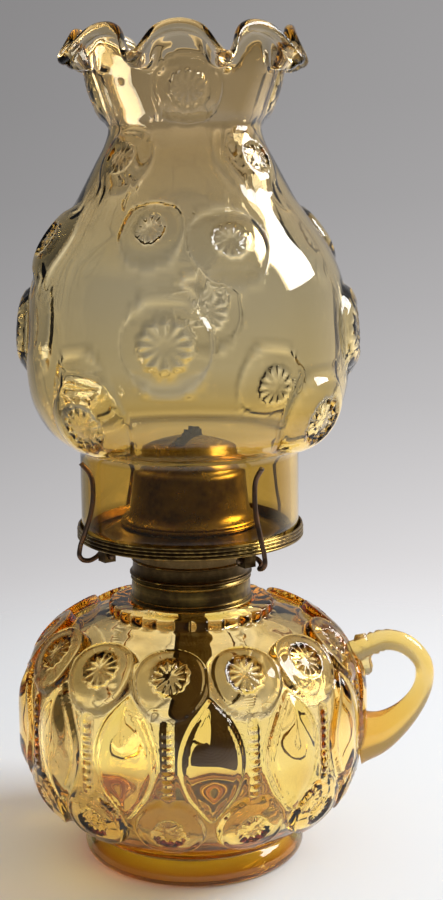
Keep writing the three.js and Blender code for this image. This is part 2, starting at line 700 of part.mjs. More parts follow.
// Air diffuser: perforated disc round the wick tube
function diffuserGeometry() {
  const radius = GALLERY_CREST_DIAMETER / 2 - 3 * BRASS_SHEET - SEAT_GAP;
  const disc = new THREE.Shape(polygon(radius, METAL_FACETS, 0, 0));
  const width = WICK_WIDTH + 2 * (TUBE_CLEARANCE + TUBE_SHEET + SEAT_GAP);
  const clear = { x: width / 2, y: ventOffset + VENT_DIAMETER / 2 + SEAT_GAP };
  DIFFUSER_RINGS.forEach(([share, count], ringIndex) => {
    for (let k = 0; k < count; k += 1) {
      const turn = 2 * Math.PI * (k + ringIndex * DIFFUSER_STAGGER_SHARE) / count;
      const x = share * radius * Math.cos(turn);
      const y = share * radius * Math.sin(turn);
      const holeRadius = DIFFUSER_HOLE / 2;
      const free = Math.abs(y) > clear.y + holeRadius || Math.abs(x) > clear.x + holeRadius;
      if (free) disc.holes.push(new THREE.Path(polygon(holeRadius, HOLE_SIDES, x, y)));
    }
  });
  const plate = new THREE.ExtrudeGeometry(disc, { depth: BRASS_SHEET, bevelEnabled: false });
  const placed = inWickFrame(closedBody(plate).translate(0, 0, diffuserZ));
  return cut(placed, [
    tubeHole(diffuserZ, diffuserZ + BRASS_SHEET), ventHole(diffuserZ, diffuserZ + BRASS_SHEET),
  ]);
}

function wickTubeGeometry() {
  const height = tubeTopZ - tubeBottomZ;
  const innerWidth = WICK_WIDTH + 2 * TUBE_CLEARANCE;
  const outside = block(innerWidth + 2 * TUBE_SHEET, 2 * tubeOuterHalf, height);
  const inside = block(innerWidth, 2 * tubeHalfThickness, height + CUT_OVERRUN);
  const middleZ = (tubeTopZ + tubeBottomZ) / 2;
  const windowWidth = (SPUR_COUNT - 1) * SPUR_SPACING + 2 * SPUR_WIDTH;
  const window = block(windowWidth, 2 * tubeOuterHalf, HOUSING_HEIGHT - 2 * TUBE_SHEET);
  window.translate(0, tubeHalfThickness + tubeOuterHalf - TUBE_CLEARANCE, shaftZ - middleZ);
  return inWickFrame(cut(outside, [inside, window]).translate(0, 0, middleZ));
}

// Housing: a small cover over the spur wheels, open towards the wick tube
function housingGeometry() {
  const front = tubeOuterHalf + SEAT_GAP;
  const back = shaftOffset + SPUR_DIAMETER / 2 + SEAT_GAP + TUBE_SHEET;
  const depth = back - front;
  const cover = block(HOUSING_LENGTH, depth, HOUSING_HEIGHT + TUBE_SHEET);
  cover.translate(0, (front + back) / 2, shaftZ);
  const inside = block(HOUSING_LENGTH - 2 * TUBE_SHEET, depth, HOUSING_HEIGHT - TUBE_SHEET);
  inside.translate(0, (front + back) / 2 - TUBE_SHEET, shaftZ);
  const bore = bar(SHAFT_DIAMETER + 2 * SEAT_GAP, 2 * HOUSING_LENGTH, SMALL_FACETS);
  bore.rotateZ(Math.PI / 2).translate(0, shaftOffset, shaftZ);
  return inWickFrame(cut(cover, [inside, bore]));
}

function bushingGeometry() {
  const bushing = bar(BUSHING_DIAMETER, BUSHING_LENGTH, SMALL_FACETS);
  const bore = bar(SHAFT_DIAMETER + 2 * SEAT_GAP, 2 * BUSHING_LENGTH, SMALL_FACETS);
  const body = cut(bushing, [bore]);
  body.rotateZ(Math.PI / 2).translate(shaftExit(cupRadius - BRASS_SHEET / 2), shaftOffset, shaftZ);
  return inWickFrame(body);
}

function shaftGeometry() {
  const start = -HOUSING_LENGTH / 2 - TUBE_SHEET;
  const shaft = bar(SHAFT_DIAMETER, SHAFT_REACH - start, SMALL_FACETS);
  shaft.rotateZ(Math.PI / 2).translate((SHAFT_REACH + start) / 2, shaftOffset, shaftZ);
  return inWickFrame(shaft);
}

// A toothed or notched disc with a bore, its axis along the shaft
function notchedWheel(diameter, teeth, rootShare, width, boreDiameter) {
  const outline = Array.from({ length: 2 * teeth }, (_, k) => {
    const radius = diameter / 2 * (k % 2 ? rootShare : 1);
    const turn = Math.PI * k / teeth;
    return point(radius * Math.cos(turn), radius * Math.sin(turn));
  });
  const shape = new THREE.Shape(outline);
  shape.holes.push(new THREE.Path(polygon(boreDiameter / 2, SMALL_FACETS, 0, 0)));
  const wheel = new THREE.ExtrudeGeometry(shape, { depth: width, bevelEnabled: false });
  wheel.translate(0, 0, -width / 2);
  return closedBody(wheel.rotateY(Math.PI / 2));
}

function spurGeometry(place) {
  const bore = SHAFT_DIAMETER + 2 * SEAT_GAP;
  const wheel = notchedWheel(SPUR_DIAMETER, SPUR_TEETH, SPUR_ROOT_SHARE, SPUR_WIDTH, bore);
  return inWickFrame(wheel.translate(place, shaftOffset, shaftZ));
}

function thumbWheelGeometry() {
  const bore = SHAFT_DIAMETER + 2 * SEAT_GAP;
  const wheel = notchedWheel(WHEEL_DIAMETER, WHEEL_NOTCHES, WHEEL_ROOT_SHARE, WHEEL_WIDTH, bore);
  const hubLength = WHEEL_WIDTH + 2 * WHEEL_HUB_LENGTH;
  const hub = bar(WHEEL_HUB_DIAMETER, hubLength, SMALL_FACETS);
  const hubBore = bar(bore, 2 * hubLength, SMALL_FACETS);
  const hubBody = cut(hub, [hubBore]).rotateZ(Math.PI / 2);
  const middle = SHAFT_REACH - WHEEL_WIDTH / 2 - WHEEL_HUB_LENGTH / 2;
  return inWickFrame(join([wheel, hubBody]).translate(middle, shaftOffset, shaftZ));
}

function ventGeometry() {
  const bottom = tubeBottomZ + BRASS_SHEET;
  const length = ventTopZ - bottom;
  const pipe = cut(bar(VENT_DIAMETER, length, SMALL_FACETS), [bar(VENT_BORE, 2 * length, SMALL_FACETS)]);
  pipe.rotateX(Math.PI / 2);
  return inWickFrame(pipe.translate(0, -ventOffset, bottom + length / 2));
}

function wickGeometry() {
  const height = wickTopZ - WICK_BOTTOM_Z;
  const tape = block(WICK_WIDTH, WICK_THICKNESS, height);
  return inWickFrame(tape.translate(0, 0, WICK_BOTTOM_Z + height / 2));
}

// Prong: wire from its pivot in the clip, down in a loop under the rim and up along the fitter
function prongRoute(lean) {
  const wire = PRONG_WIRE / 2;
  const contact = fitterRadius + SEAT_GAP + wire;
  const outside = rimOuterRadius + SEAT_GAP + PRONG_WIRE;
  const rimTop = galleryFloorZ + GALLERY_RIM_HEIGHT;
  const side = Math.sign(lean);
  const pivotEnd = PRONG_PIVOT_LENGTH / 2;
  const loopZ = pivotZ - PRONG_LOOP_DROP;
  const aside = (azimuth) => radians(azimuth) * fitterRadius;
  return [
    [pivotRadius, -side * pivotEnd, pivotZ],
    [pivotRadius, 0, pivotZ],
    [pivotRadius, side * pivotEnd, pivotZ],
    [pivotRadius + PRONG_WIRE, side * pivotEnd + side * PRONG_WIRE / 2, loopZ + PRONG_WIRE / 2],
    [(pivotRadius + outside) / 2 + wire, aside(lean), loopZ],
    [outside, aside(lean), loopZ + PRONG_WIRE],
    [outside, aside(lean), (loopZ + rimTop) / 2],
    [outside - wire / 2, aside(lean / 2), rimTop + wire],
    [contact + wire / 2, aside(lean / 8), prongContactZ - 4 * PRONG_WIRE],
    [contact, 0, prongContactZ],
    [contact + wire / 2, aside(lean / 8), prongContactZ + 3 * PRONG_WIRE],
    [contact + PRONG_TIP_FLARE, aside(lean / 2), prongTipZ],
  ].map(([radius, sideways, z]) => new THREE.Vector3(sideways, -radius, z));
}

function prongGeometry(azimuth, lean) {
  const section = new THREE.Shape(polygon(PRONG_WIRE / 2, WIRE_SIDES, 0, 0));
  const wire = new THREE.ExtrudeGeometry(section, {
    steps: WIRE_STEPS,
    bevelEnabled: false,
    extrudePath: new THREE.CatmullRomCurve3(prongRoute(lean), false, 'centripetal'),
  });
  return closedBody(wire).rotateZ(radians(azimuth));
}

function clipGeometry(azimuth) {
  const size = PRONG_WIRE + 2 * (SEAT_GAP + CLIP_WALL);
  const body = block(CLIP_LENGTH, size, size);
  const bore = bar(PRONG_WIRE + 2 * SEAT_GAP, 2 * CLIP_LENGTH, SMALL_FACETS).rotateZ(Math.PI / 2);
  return cut(body, [bore]).translate(0, -pivotRadius, pivotZ).rotateZ(radians(azimuth));
}

// Chimney

// Shares of the rise from the ledge to the bulb's widest, and of the swell from fitter to bulb
const lowerBulbShares = [[0, 0.06], [0.05, 0.28], [0.18, 0.59], [0.33, 0.785], [0.5, 0.92], [0.72, 0.985]];
// Shares of the rise from the widest to the waist, and of the bulb's swell over the waist
const upperBulbShares = [
  [0, 1], [0.212, 0.957], [0.336, 0.885], [0.445, 0.766], [0.555, 0.585], [0.664, 0.395],
  [0.733, 0.3], [0.842, 0.157], [0.925, 0.05], [1, 0],
];
// Shares of the rise from the waist to the rim, and of the rim's flare over the waist
const flareShares = [
  [0.12, 0.15], [0.287, 0.31], [0.467, 0.45], [0.71, 0.57], [0.86, 0.75], [0.95, 0.9], [1, 1],
];

function chimneyPath() {
  const bulb = BULB_DIAMETER / 2;
  const waist = WAIST_DIAMETER / 2;
  const rim = RIM_DIAMETER / 2;
  const ledge = FITTER_HEIGHT;
  const lower = lowerBulbShares.map(([h, r]) => {
    return point(fitterRadius + r * (bulb - fitterRadius), ledge + h * (BULB_HEIGHT - ledge));
  });
  const upper = upperBulbShares.map(([h, r]) => {
    return point(waist + r * (bulb - waist), BULB_HEIGHT + h * (WAIST_HEIGHT - BULB_HEIGHT));
  });
  const flare = flareShares.map(([h, r]) => {
    return point(waist + r * (rim - waist), WAIST_HEIGHT + h * (CHIMNEY_HEIGHT - WAIST_HEIGHT));
  });
  return smooth([...lower, ...upper, ...flare], CHIMNEY_ROWS);
}

function chimneyGeometry() {
  const glass = chimneyPath();
  const path = [point(fitterRadius, 0), point(fitterRadius, FITTER_HEIGHT - CHIMNEY_WALL / 2), ...glass];
  const normals = pathNormals(path);
  const relief = reliefField(path, BOSS_AZIMUTHS.map((azimuth, k) => ({
    azimuth,
    z: bossHeightShares[k] * CHIMNEY_HEIGHT,
    halfWidth: bossRadiusShares[k] * BULB_DIAMETER / 2,
    halfHeight: bossRadiusShares[k] * BULB_DIAMETER / 2,
    relief: bossReliefShares[k] * CHIMNEY_WALL,
    repeats: BOSS_REPEATS,
  })));
  const last = path.length - 1;
  const lip = path[last].clone().addScaledVector(normals[last], -CHIMNEY_WALL / 2);
  lip.addScaledVector(point(-normals[last].y, normals[last].x), CHIMNEY_WALL / 2 + RIM_BEAD);
  const insideAll = offsetPath(path, -CHIMNEY_WALL);
  // Every second row is enough for the smooth inside of the bulb
  const inside = insideAll.filter((p, i) => i < 2 || i % 2 === 0 || i > last - 4);
  const outline = [...path, lip, ...inside.reverse()];
  const top = CHIMNEY_HEIGHT;
  const start = WAIST_HEIGHT + CRIMP_START_SHARE * (top - WAIST_HEIGHT);
  return ring(outline, CHIMNEY_FACETS, CRIMP_AZIMUTH, (row, azimuth) => {
    const here = outline[row % outline.length].clone();
    if (row <= last) here.addScaledVector(normals[row], relief(row, azimuth));
    const wave = (1 + Math.cos(radians((azimuth - CRIMP_AZIMUTH) * CRIMP_COUNT))) / 2;
    const valley = wave ** CRIMP_SHARPNESS;
    const pull = THREE.MathUtils.smoothstep(here.y, start, top);
    here.x += (2 * valley - 1) * CRIMP_FOLD * pull;
    here.y -= valley * CRIMP_DROP * pull;
    return here;
  }).translate(0, 0, chimneyBottomZ);
}

// The whole lamp, on its own axis first
const lamp = new THREE.Group();

function add(name, geometry, finish) {
  const mesh = new THREE.Mesh(geometry, new THREE.MeshStandardMaterial(finish));
  mesh.name = name;
  lamp.add(mesh);
}

add('font', fontGeometry(), AMBER);
add('handle', handleGeometry(), HONEY);
add('collar', collarGeometry(), AGED_BRASS);
add('collar_plaster', plasterGeometry(), PLASTER);
add('burner_cup', burnerCupGeometry(), AGED_BRASS);
add('gallery', galleryGeometry(), AGED_BRASS);
add('cone', coneGeometry(), AGED_BRASS);
add('air_diffuser', diffuserGeometry(), BRIGHT_BRASS);
add('wick_tube', wickTubeGeometry(), BRIGHT_BRASS);
add('gear_housing', housingGeometry(), BRIGHT_BRASS);
add('shaft_bushing', bushingGeometry(), BRIGHT_BRASS);
add('vent_tube', ventGeometry(), BRIGHT_BRASS);
add('wick_shaft', shaftGeometry(), BRIGHT_BRASS);
for (let k = 0; k < SPUR_COUNT; k += 1) {
  add(`spur_wheel_${k + 1}`, spurGeometry((k - (SPUR_COUNT - 1) / 2) * SPUR_SPACING), BRIGHT_BRASS);
}
add('thumb_wheel', thumbWheelGeometry(), BRIGHT_BRASS);
add('wick', wickGeometry(), COTTON);
PRONG_AZIMUTHS.forEach((azimuth, k) => {
  add(`prong_${k + 1}`, prongGeometry(azimuth, PRONG_LEAN_DEGREES[k]), DARK_STEEL);
  add(`prong_clip_${k + 1}`, clipGeometry(azimuth), AGED_BRASS);
});
add('chimney', chimneyGeometry(), PALE_AMBER);

// The origin is the middle of the lamp's footprint, so the lamp's axis stands aside of it
const footprint = new THREE.Box3().setFromObject(lamp);
lamp.position.x = -(footprint.min.x + footprint.max.x) / 2;
lamp.position.y = -(footprint.min.y + footprint.max.y) / 2;

const assembly = new THREE.Group();
assembly.add(lamp);

export default assembly;
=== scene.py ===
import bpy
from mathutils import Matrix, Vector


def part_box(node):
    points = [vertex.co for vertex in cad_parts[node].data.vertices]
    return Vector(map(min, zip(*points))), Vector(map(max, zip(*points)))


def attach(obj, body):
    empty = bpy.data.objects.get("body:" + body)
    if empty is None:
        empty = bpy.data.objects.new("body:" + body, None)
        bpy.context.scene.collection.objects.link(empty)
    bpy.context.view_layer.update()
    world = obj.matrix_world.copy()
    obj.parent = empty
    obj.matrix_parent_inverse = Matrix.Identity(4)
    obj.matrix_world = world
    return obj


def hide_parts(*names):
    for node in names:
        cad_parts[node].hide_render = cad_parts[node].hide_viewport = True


bl_info = {
    "name": "Glass Finger Lamp",
    "version": (1, 0, 0),
    "blender": (4, 5, 0),
    "location": "View3D > Sidebar > Lamp",
    "description": "Dresses the frame of an amber kerosene finger lamp with glass, brass, wire and wick",
    "category": "Object",
}

from math import copysign, cos, pi, radians, sin

import bpy
import numpy as np
from bpy.props import FloatProperty, FloatVectorProperty, IntProperty, PointerProperty
from mathutils import Matrix, Vector

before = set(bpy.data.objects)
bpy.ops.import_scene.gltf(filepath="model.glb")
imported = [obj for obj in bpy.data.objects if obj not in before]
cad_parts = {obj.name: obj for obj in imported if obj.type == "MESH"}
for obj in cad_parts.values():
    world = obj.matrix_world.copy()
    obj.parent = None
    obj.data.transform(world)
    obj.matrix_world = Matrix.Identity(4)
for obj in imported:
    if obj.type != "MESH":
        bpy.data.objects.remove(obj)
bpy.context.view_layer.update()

MM = 0.001
CONE_LOW, CONE_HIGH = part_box("cone")
AXIS = Vector(((CONE_LOW.x + CONE_HIGH.x) / 2, (CONE_LOW.y + CONE_HIGH.y) / 2, 0))

# Sizes in millimetres that several pieces share
CROWN_TOP = 91.8
COLLAR_BOTTOM = 92.1
CUP_BOTTOM = 101.7
SHAFT_ASIDE, SHAFT_Z = 5.3, 107.55
SEAT = 116.5
GALLERY_RIM = 119.8
DRUM_TOP = 139.1
DOME_BASE, DOME_RADIUS, DOME_RISE = DRUM_TOP + 1.6, 17.3, 9.6
FITTER_RADIUS = 38.1
WICK_TURN = radians(70)

# Steps round the axis
FONT_STEPS, CHIMNEY_STEPS, GALLERY_STEPS, BRASS_STEPS = 520, 432, 288, 192

# Rows of the font's pattern: azimuth of one piece in degrees, height of the row
MOONS, OVALS, LOW_MOONS, BEADS = (-8.1, 77.6), (5.7, 53.2), (-8.1, 29), (-8.2, 53.5)

# Rows of bosses on the chimney: azimuth, height over the seat, radius, relief, star and its depth
BOSSES = [
    (2, 151, 11.5, 1.5, 6.6, 0.6),
    (-42, 128.5, 11.2, 2.2, 5.8, 1.5),
    (17, 102.3, 13.4, 3.0, 6.6, 1.7),
    (-7, 71.8, 15.0, 4.0, 9.2, 1.3),
    (-38, 45.2, 15.3, 3.6, 8.4, 1.8),
]
BOSSES_ROUND = 4

# Prongs: azimuth, and the turn in degrees by which the foot of the loop stands aside
PRONGS = [(33, 3), (-56, -8), (122, -4), (-146, 4)]

# The photograph's camera: its place from the lamp's foot in metres, its turn down and its roll in
# degrees, then the focal length and the column of the lamp's axis in pixels
CAMERA_PLACE = (0, -0.533, 0.245)
CAMERA_PITCH, CAMERA_ROLL = 10.59, 0.787
FOCAL_LENGTH, AXIS_COLUMN = 1552, 189.2
IMAGE_WIDTH, IMAGE_HEIGHT = 443, 900
SENSOR = 24


# Settings

COLOUR = {"subtype": "COLOR", "size": 3, "min": 0, "max": 1}
LENGTH = {"subtype": "DISTANCE", "unit": "LENGTH"}


class LampGlassSettings(bpy.types.PropertyGroup):
    font_tint: FloatVectorProperty(
        name="Font tint", description="Colour that the font's glass lets through",
        default=(0.97, 0.745, 0.06), **COLOUR)
    font_depth: FloatProperty(
        name="Font depth", description="How fast the font's glass darkens with thickness, per metre",
        default=100, min=0)
    chimney_tint: FloatVectorProperty(
        name="Chimney tint", description="Colour that the chimney's glass lets through",
        default=(0.955, 0.75, 0.08), **COLOUR)
    chimney_depth: FloatProperty(
        name="Chimney depth",
        description="How fast the chimney's glass darkens with thickness, per metre", default=140, min=0)
    handle_tint: FloatVectorProperty(
        name="Handle tint", description="Colour of the applied handle's clouded glass",
        default=(0.965, 0.77, 0.08), **COLOUR)


class LampMetalSettings(bpy.types.PropertyGroup):
    brass: FloatVectorProperty(
        name="Brass", description="Colour of the brass where it is rubbed bright",
        default=(0.72, 0.5, 0.135), **COLOUR)
    patina: FloatVectorProperty(
        name="Patina", description="Colour of the brass where it has aged",
        default=(0.12, 0.077, 0.031), **COLOUR)
    wire: FloatVectorProperty(
        name="Wire", description="Colour of the prongs' spring wire",
        default=(0.10, 0.065, 0.045), **COLOUR)
    wire_diameter: FloatProperty(
        name="Wire diameter", description="Thickness of the prongs' wire",
        default=0.0017, min=0.0005, max=0.004, **LENGTH)


class LampPatternSettings(bpy.types.PropertyGroup):
    moon_radius: FloatProperty(
        name="Moon radius", description="Radius of the round discs pressed into the font",
        default=0.0126, min=0.005, **LENGTH)
    oval_height: FloatProperty(
        name="Oval half height", description="Half the height of the pointed ovals on the font",
        default=0.0216, min=0.005, **LENGTH)
    repeats: IntProperty(
        name="Font repeats", description="Number of moons, of ovals and of bead columns round the font",
        default=13, min=3)
    star_rays: IntProperty(
        name="Star rays", description="Number of rays in each pressed star", default=12, min=4)
    crimps: IntProperty(
        name="Crimps", description="Number of crimps round the chimney's rim", default=8, min=1)
    crown_teeth: IntProperty(
        name="Crown teeth", description="Number of scallops in the ring under the collar",
        default=30, min=3)


class LampStageSettings(bpy.types.PropertyGroup):
    key_power: FloatProperty(
        name="Window light", description="Power of the window light on the handle's side",
        subtype="POWER", unit="POWER", default=18, min=0)
    room_level: FloatProperty(
        name="Room level", description="Strength of the light from all round", default=0.47, min=0)


# Making meshes


def mode(name):
    bpy.ops.object.mode_set(mode=name)


def deselect():
    if bpy.context.object is not None and bpy.context.object.mode != "OBJECT":
        mode("OBJECT")
    bpy.ops.object.select_all(action="DESELECT")


def pick(obj):
    """Selects obj alone and makes it the active one."""
    deselect()
    bpy.context.view_layer.objects.active = obj
    obj.select_set(True)


def edit(obj):
    """Opens obj alone in edit mode with all of it selected."""
    pick(obj)
    mode("EDIT")
    bpy.ops.mesh.select_all(action="SELECT")


def choose(obj, kind, parts, wanted):
    """Opens obj in edit mode with only the wanted ones of its edges or faces selected."""
    edit(obj)
    bpy.ops.mesh.select_mode(type=kind)
    bpy.ops.mesh.select_all(action="DESELECT")
    mode("OBJECT")
    for part in parts:
        part.select = wanted(part)
    mode("EDIT")


def close_edit():
    """Merges doubles, turns the faces out and goes back to object mode."""
    bpy.ops.mesh.select_all(action="SELECT")
    bpy.ops.mesh.remove_doubles(threshold=0.000001)
    bpy.ops.mesh.normals_make_consistent(inside=False)
    mode("OBJECT")


def settle(obj):
    """Leaves obj at the origin with its place in its mesh."""
    pick(obj)
    bpy.ops.object.transform_apply(location=True, rotation=True, scale=True)
    obj.select_set(False)


def crisp(obj, degrees):
    pick(obj)
    bpy.ops.object.shade_smooth_by_angle(angle=radians(degrees))
    obj.select_set(False)


def dress(obj, material):
    obj.data.materials.clear()
    obj.data.materials.append(material)


def finish(obj, material, body, node):
    """Gives obj its material, and stands it on its body in place of the CAD node."""
    dress(obj, material)
    settle(obj)
    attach(obj, body)
    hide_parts(node)


def combine(obj, other, operation):
    """Joins other to obj or cuts it out, and removes other."""
    pick(obj)
    step = obj.modifiers.new("Combine", "BOOLEAN")
    step.operation = operation
    step.solver = "EXACT"
    step.object = other
    bpy.ops.object.modifier_apply(modifier=step.name)
    bpy.data.objects.remove(other, do_unlink=True)


def coords(obj):
    """Places of obj's vertices in metres, a row for each."""
    co = np.empty(len(obj.data.vertices) * 3)
    obj.data.vertices.foreach_get("co", co)
    return co.reshape(-1, 3)


def set_coords(obj, x, y, z):
    """Moves obj's vertices to places in millimetres from the foot of the lamp's axis."""
    co = np.column_stack([x, y, z]) * MM + np.array(AXIS)
    obj.data.vertices.foreach_set("co", co.ravel())
    obj.data.update()


def places(obj):
    """Vertices of obj as azimuth in degrees, radius and height in millimetres."""
    x, y, z = (coords(obj) - np.array(AXIS)).T
    return np.degrees(np.arctan2(x, -y)), np.hypot(x, y) / MM, z / MM


def put(obj, azimuth, radius, z):
    """Moves obj's vertices to azimuths, radii and heights like those of places."""
    a = np.radians(azimuth)
    set_coords(obj, radius * np.sin(a), -radius * np.cos(a), z)


def arc_of(line):
    """Length of the line up to each of its points."""
    return np.r_[0, np.cumsum(np.linalg.norm(np.diff(line, axis=0), axis=1))]


def directions(line):
    along = np.gradient(line, axis=0)
    return along / np.linalg.norm(along, axis=1)[:, None]


def side_normals(line):
    along = directions(line)
    return np.column_stack([along[:, 1], -along[:, 0]])


def by_height(line):
    """Four functions of the height: the line's radius there, its length up to there, and how far its
    side normal points out and up."""
    values = np.column_stack([line[:, 0], arc_of(line), side_normals(line)]).T
    return [lambda z, side=side: np.interp(z, line[:, 1], side) for side in values]


def smooth_line(points, step, spacing=()):
    """Points about step apart on a Catmull-Rom curve through the given ones.

    With spacing, a list of (height, step), the step goes by the height instead."""
    p = np.array(points, float)
    held = np.vstack([2 * p[0] - p[1], p, 2 * p[-1] - p[-2]])
    t = np.linspace(0, 1, 40, endpoint=False)[:, None]
    runs = []
    for a, b, c, d in zip(held, held[1:], held[2:], held[3:]):
        bend = (c - a) * t + (2 * a - 5 * b + 4 * c - d) * t**2 + (3 * b - 3 * c + d - a) * t**3
        runs.append(b + 0.5 * bend)
    fine = np.vstack(runs + [p[-1:]])
    arc = arc_of(fine)
    count = arc / step
    if len(spacing):
        heights, steps = np.transpose(spacing)
        count = np.r_[0, np.cumsum(np.diff(arc) / np.interp(fine[1:, 1], heights, steps))]
    at = np.interp(np.linspace(0, count[-1], max(2, round(count[-1]) + 1)), count, arc)
    return np.column_stack([np.interp(at, arc, side) for side in fine.T])


def arc_points(r, z, wide, high, degrees):
    """Points of an ellipse about (r, z), at the given turns from its outer side."""
    return [(r + wide * cos(t), z + high * sin(t)) for t in np.radians(degrees)]


def beaded(line, low=0):
    """Points (r, z) over the height low. One with a third number becomes a half round of that size."""
    out = []
    for r, z, *bead in line:
        out += arc_points(r, low + z, *bead, *bead, range(-90, 91, 36)) if bead else [(r, low + z)]
    return out


def drawn(name, points):
    """A ring of edges through points in metres."""
    deselect()
    bpy.ops.mesh.primitive_circle_add(vertices=len(points), radius=0.01, location=(0, 0, 0))
    obj = bpy.context.object
    obj.name = name
    for vertex, place in zip(obj.data.vertices, points):
        vertex.co = place
    return obj


def spin(obj, steps, centre, axis):
    """Spins all of obj once round the axis through centre."""
    edit(obj)
    bpy.ops.mesh.select_mode(type="VERT")
    bpy.ops.mesh.select_all(action="SELECT")
    bpy.ops.mesh.spin(steps=steps, angle=2 * pi, center=centre, axis=axis)
    close_edit()


def spun(name, outline, steps, closed=True):
    """Spins an outline of (radius, height) points in millimetres about the lamp's axis."""
    obj = drawn(name, [(AXIS.x, AXIS.y - r * MM, z * MM) for r, z in outline])
    if not closed:
        choose(obj, "EDGE", obj.data.edges, lambda edge: set(edge.vertices) == {0, len(outline) - 1})
        bpy.ops.mesh.delete(type="EDGE")
    spin(obj, steps, AXIS, (0, 0, 1))
    bpy.ops.object.shade_smooth()
    return obj


def tube(name, points, radius, steps, sides, swells=()):
    """A round wire with closed ends through points in metres, swells times its radius at each."""
    deselect()
    bpy.ops.curve.primitive_bezier_curve_add(location=(0, 0, 0))
    obj = bpy.context.object
    obj.name = name
    curve = obj.data
    knots = curve.splines[0].bezier_points
    knots.add(len(points) - 2)
    for knot, place in zip(knots, points):
        knot.co = place
        knot.handle_left_type = knot.handle_right_type = "AUTO"
    for knot, swell in zip(knots, swells):
        knot.radius = swell
    curve.dimensions = "3D"
    curve.resolution_u = steps
    curve.bevel_depth = radius
    curve.bevel_resolution = sides
    curve.use_fill_caps = True
    bpy.ops.object.convert(target="MESH")
    obj = bpy.context.object
    edit(obj)
    close_edit()
    bpy.ops.object.shade_smooth()
    return obj


# Pressed pattern


def ease(x, low, high):
    t = np.clip((x - low) / (high - low), 0, 1)
    return t * t * (3 - 2 * t)


def ridge(x, centre, width):
    return np.exp(-(((x - centre) / width) ** 2))


def turn_from(azimuth, centre, repeats):
    """Degrees from each azimuth's nearest repeat of centre."""
    step = 360 / repeats
    return (azimuth - centre + step / 2) % step - step / 2


def star(across, up, radius, rays, depth):
    """A pressed star: a sunken rosette of flat-sided pleats with a scalloped edge."""
    reach = np.hypot(across, up)
    phase = np.arctan2(up, across) * rays / (2 * pi) % 1
    groove = np.abs(phase - 0.5) * 2
    edge = radius * (0.86 + 0.14 * (1 - groove))
    inside = 1 - ease(reach, edge - 0.6, edge)
    return -inside * depth * (0.25 + groove * np.clip(reach / radius * 1.25, 0, 1))


def font_relief(arc, radius, azimuth, arc_at, pattern):
    """Height of the font's pattern over its plain bowl, in millimetres."""
    moon = pattern.moon_radius / MM
    rays = pattern.star_rays

    def place(row):
        turn = turn_from(azimuth, row[0], pattern.repeats)
        return np.radians(turn) * radius, arc - arc_at(row[1])

    across, up = place(MOONS)
    reach = np.hypot(across * 0.97, up * 0.98)
    disc = 2.2 - 0.45 * (reach / moon) ** 2 + 0.09 * up + 0.35 * ridge(reach, moon - 1.3, 0.7)
    moons = (1 - ease(reach, moon - 1.1, moon + 0.2)) * disc
    carved = star(across, up - 1.5, 6.7, rays, 1.5) * (reach < moon)

    across, up = place(OVALS)
    share = np.abs(across) / 11.0 + (up / (pattern.oval_height / MM)) ** 2
    lens = 2.5 * (1 - share**2) + 0.4 + 0.7 * ridge(share, 0.88, 0.06)
    ovals = (1 - ease(share, 0.9, 1.03)) * lens

    across, up = place(LOW_MOONS)
    reach = np.hypot(across, up * 1.02)
    disc = 2.2 - (reach / 12.0) ** 2 - 0.05 * up + 0.35 * ridge(reach, 10.6, 0.7)
    lower = (1 - ease(reach, 10.8, 12.0)) * disc
    carved = carved + star(across, up, 5.8, rays, 1.5) * (reach < 11.8)

    across, up = place(BEADS)
    bead = np.abs(np.sin(pi * up / 2.8)) * np.clip(1 - (across / 1.6) ** 2, 0, 1)
    beads = 1.1 * np.sqrt(bead) * (np.abs(up) < 12.6)
    return np.maximum(np.maximum(moons, ovals), np.maximum(lower, beads)) + carved


def chimney_relief(arc, radius, azimuth, arc_at, rays):
    """Height of the chimney's domed bosses, and that of the stars sunk into them."""
    height = np.zeros_like(arc)
    carved = np.zeros_like(arc)
    for centre, z, size, relief, rosette, depth in BOSSES:
        across = np.radians(turn_from(azimuth, centre, BOSSES_ROUND)) * radius
        up = arc - arc_at(z)
        reach = np.hypot(across, up)
        height = np.maximum(height, np.clip(1 - (reach / size) ** 3, 0, 1) ** 0.55 * relief)
        carved += star(across, up, rosette, rays, depth) * (reach < size)
    return height, carved


# Shader nodes


def feed(tree, node, inputs):
    """Sets a node's inputs, and links those that are given as sockets."""
    for key, value in dict(inputs).items():
        if isinstance(value, bpy.types.NodeSocket):
            tree.links.new(value, node.inputs[key])
        else:
            node.inputs[key].default_value = value


def add_node(tree, kind, inputs=(), **details):
    node = tree.nodes.new("ShaderNode" + kind)
    for key, value in details.items():
        setattr(node, key, value)
    feed(tree, node, inputs)
    return node


def math_node(tree, operation, *values):
    return add_node(tree, "Math", enumerate(values), operation=operation).outputs[0]


def split(tree, vector):
    """The three parts of a vector."""
    return add_node(tree, "SeparateXYZ", {0: vector}).outputs


def noise(tree, place, scale, detail, roughness=0.5, distortion=0.0):
    return add_node(tree, "TexNoise", {
        "Vector": place, "Scale": scale, "Detail": detail, "Roughness": roughness,
        "Distortion": distortion}).outputs[0]


def ranged(tree, value, low, high, bottom=0.0, top=1.0):
    """value, moved from the range of bottom to top into that of low to high."""
    return add_node(tree, "MapRange", {
        "Value": value, "From Min": bottom, "From Max": top, "To Min": low, "To Max": high}).outputs[0]


def mixed(tree, factor, first, second):
    """A blend of two colours."""
    first, second = ((*side, 1) if isinstance(side, tuple) else side for side in (first, second))
    return add_node(tree, "Mix", {0: factor, 6: first, 7: second}, data_type="RGBA").outputs[2]


def bumped(tree, height, strength, distance):
    return add_node(tree, "Bump", {
        "Height": height, "Strength": strength, "Distance": distance}).outputs[0]


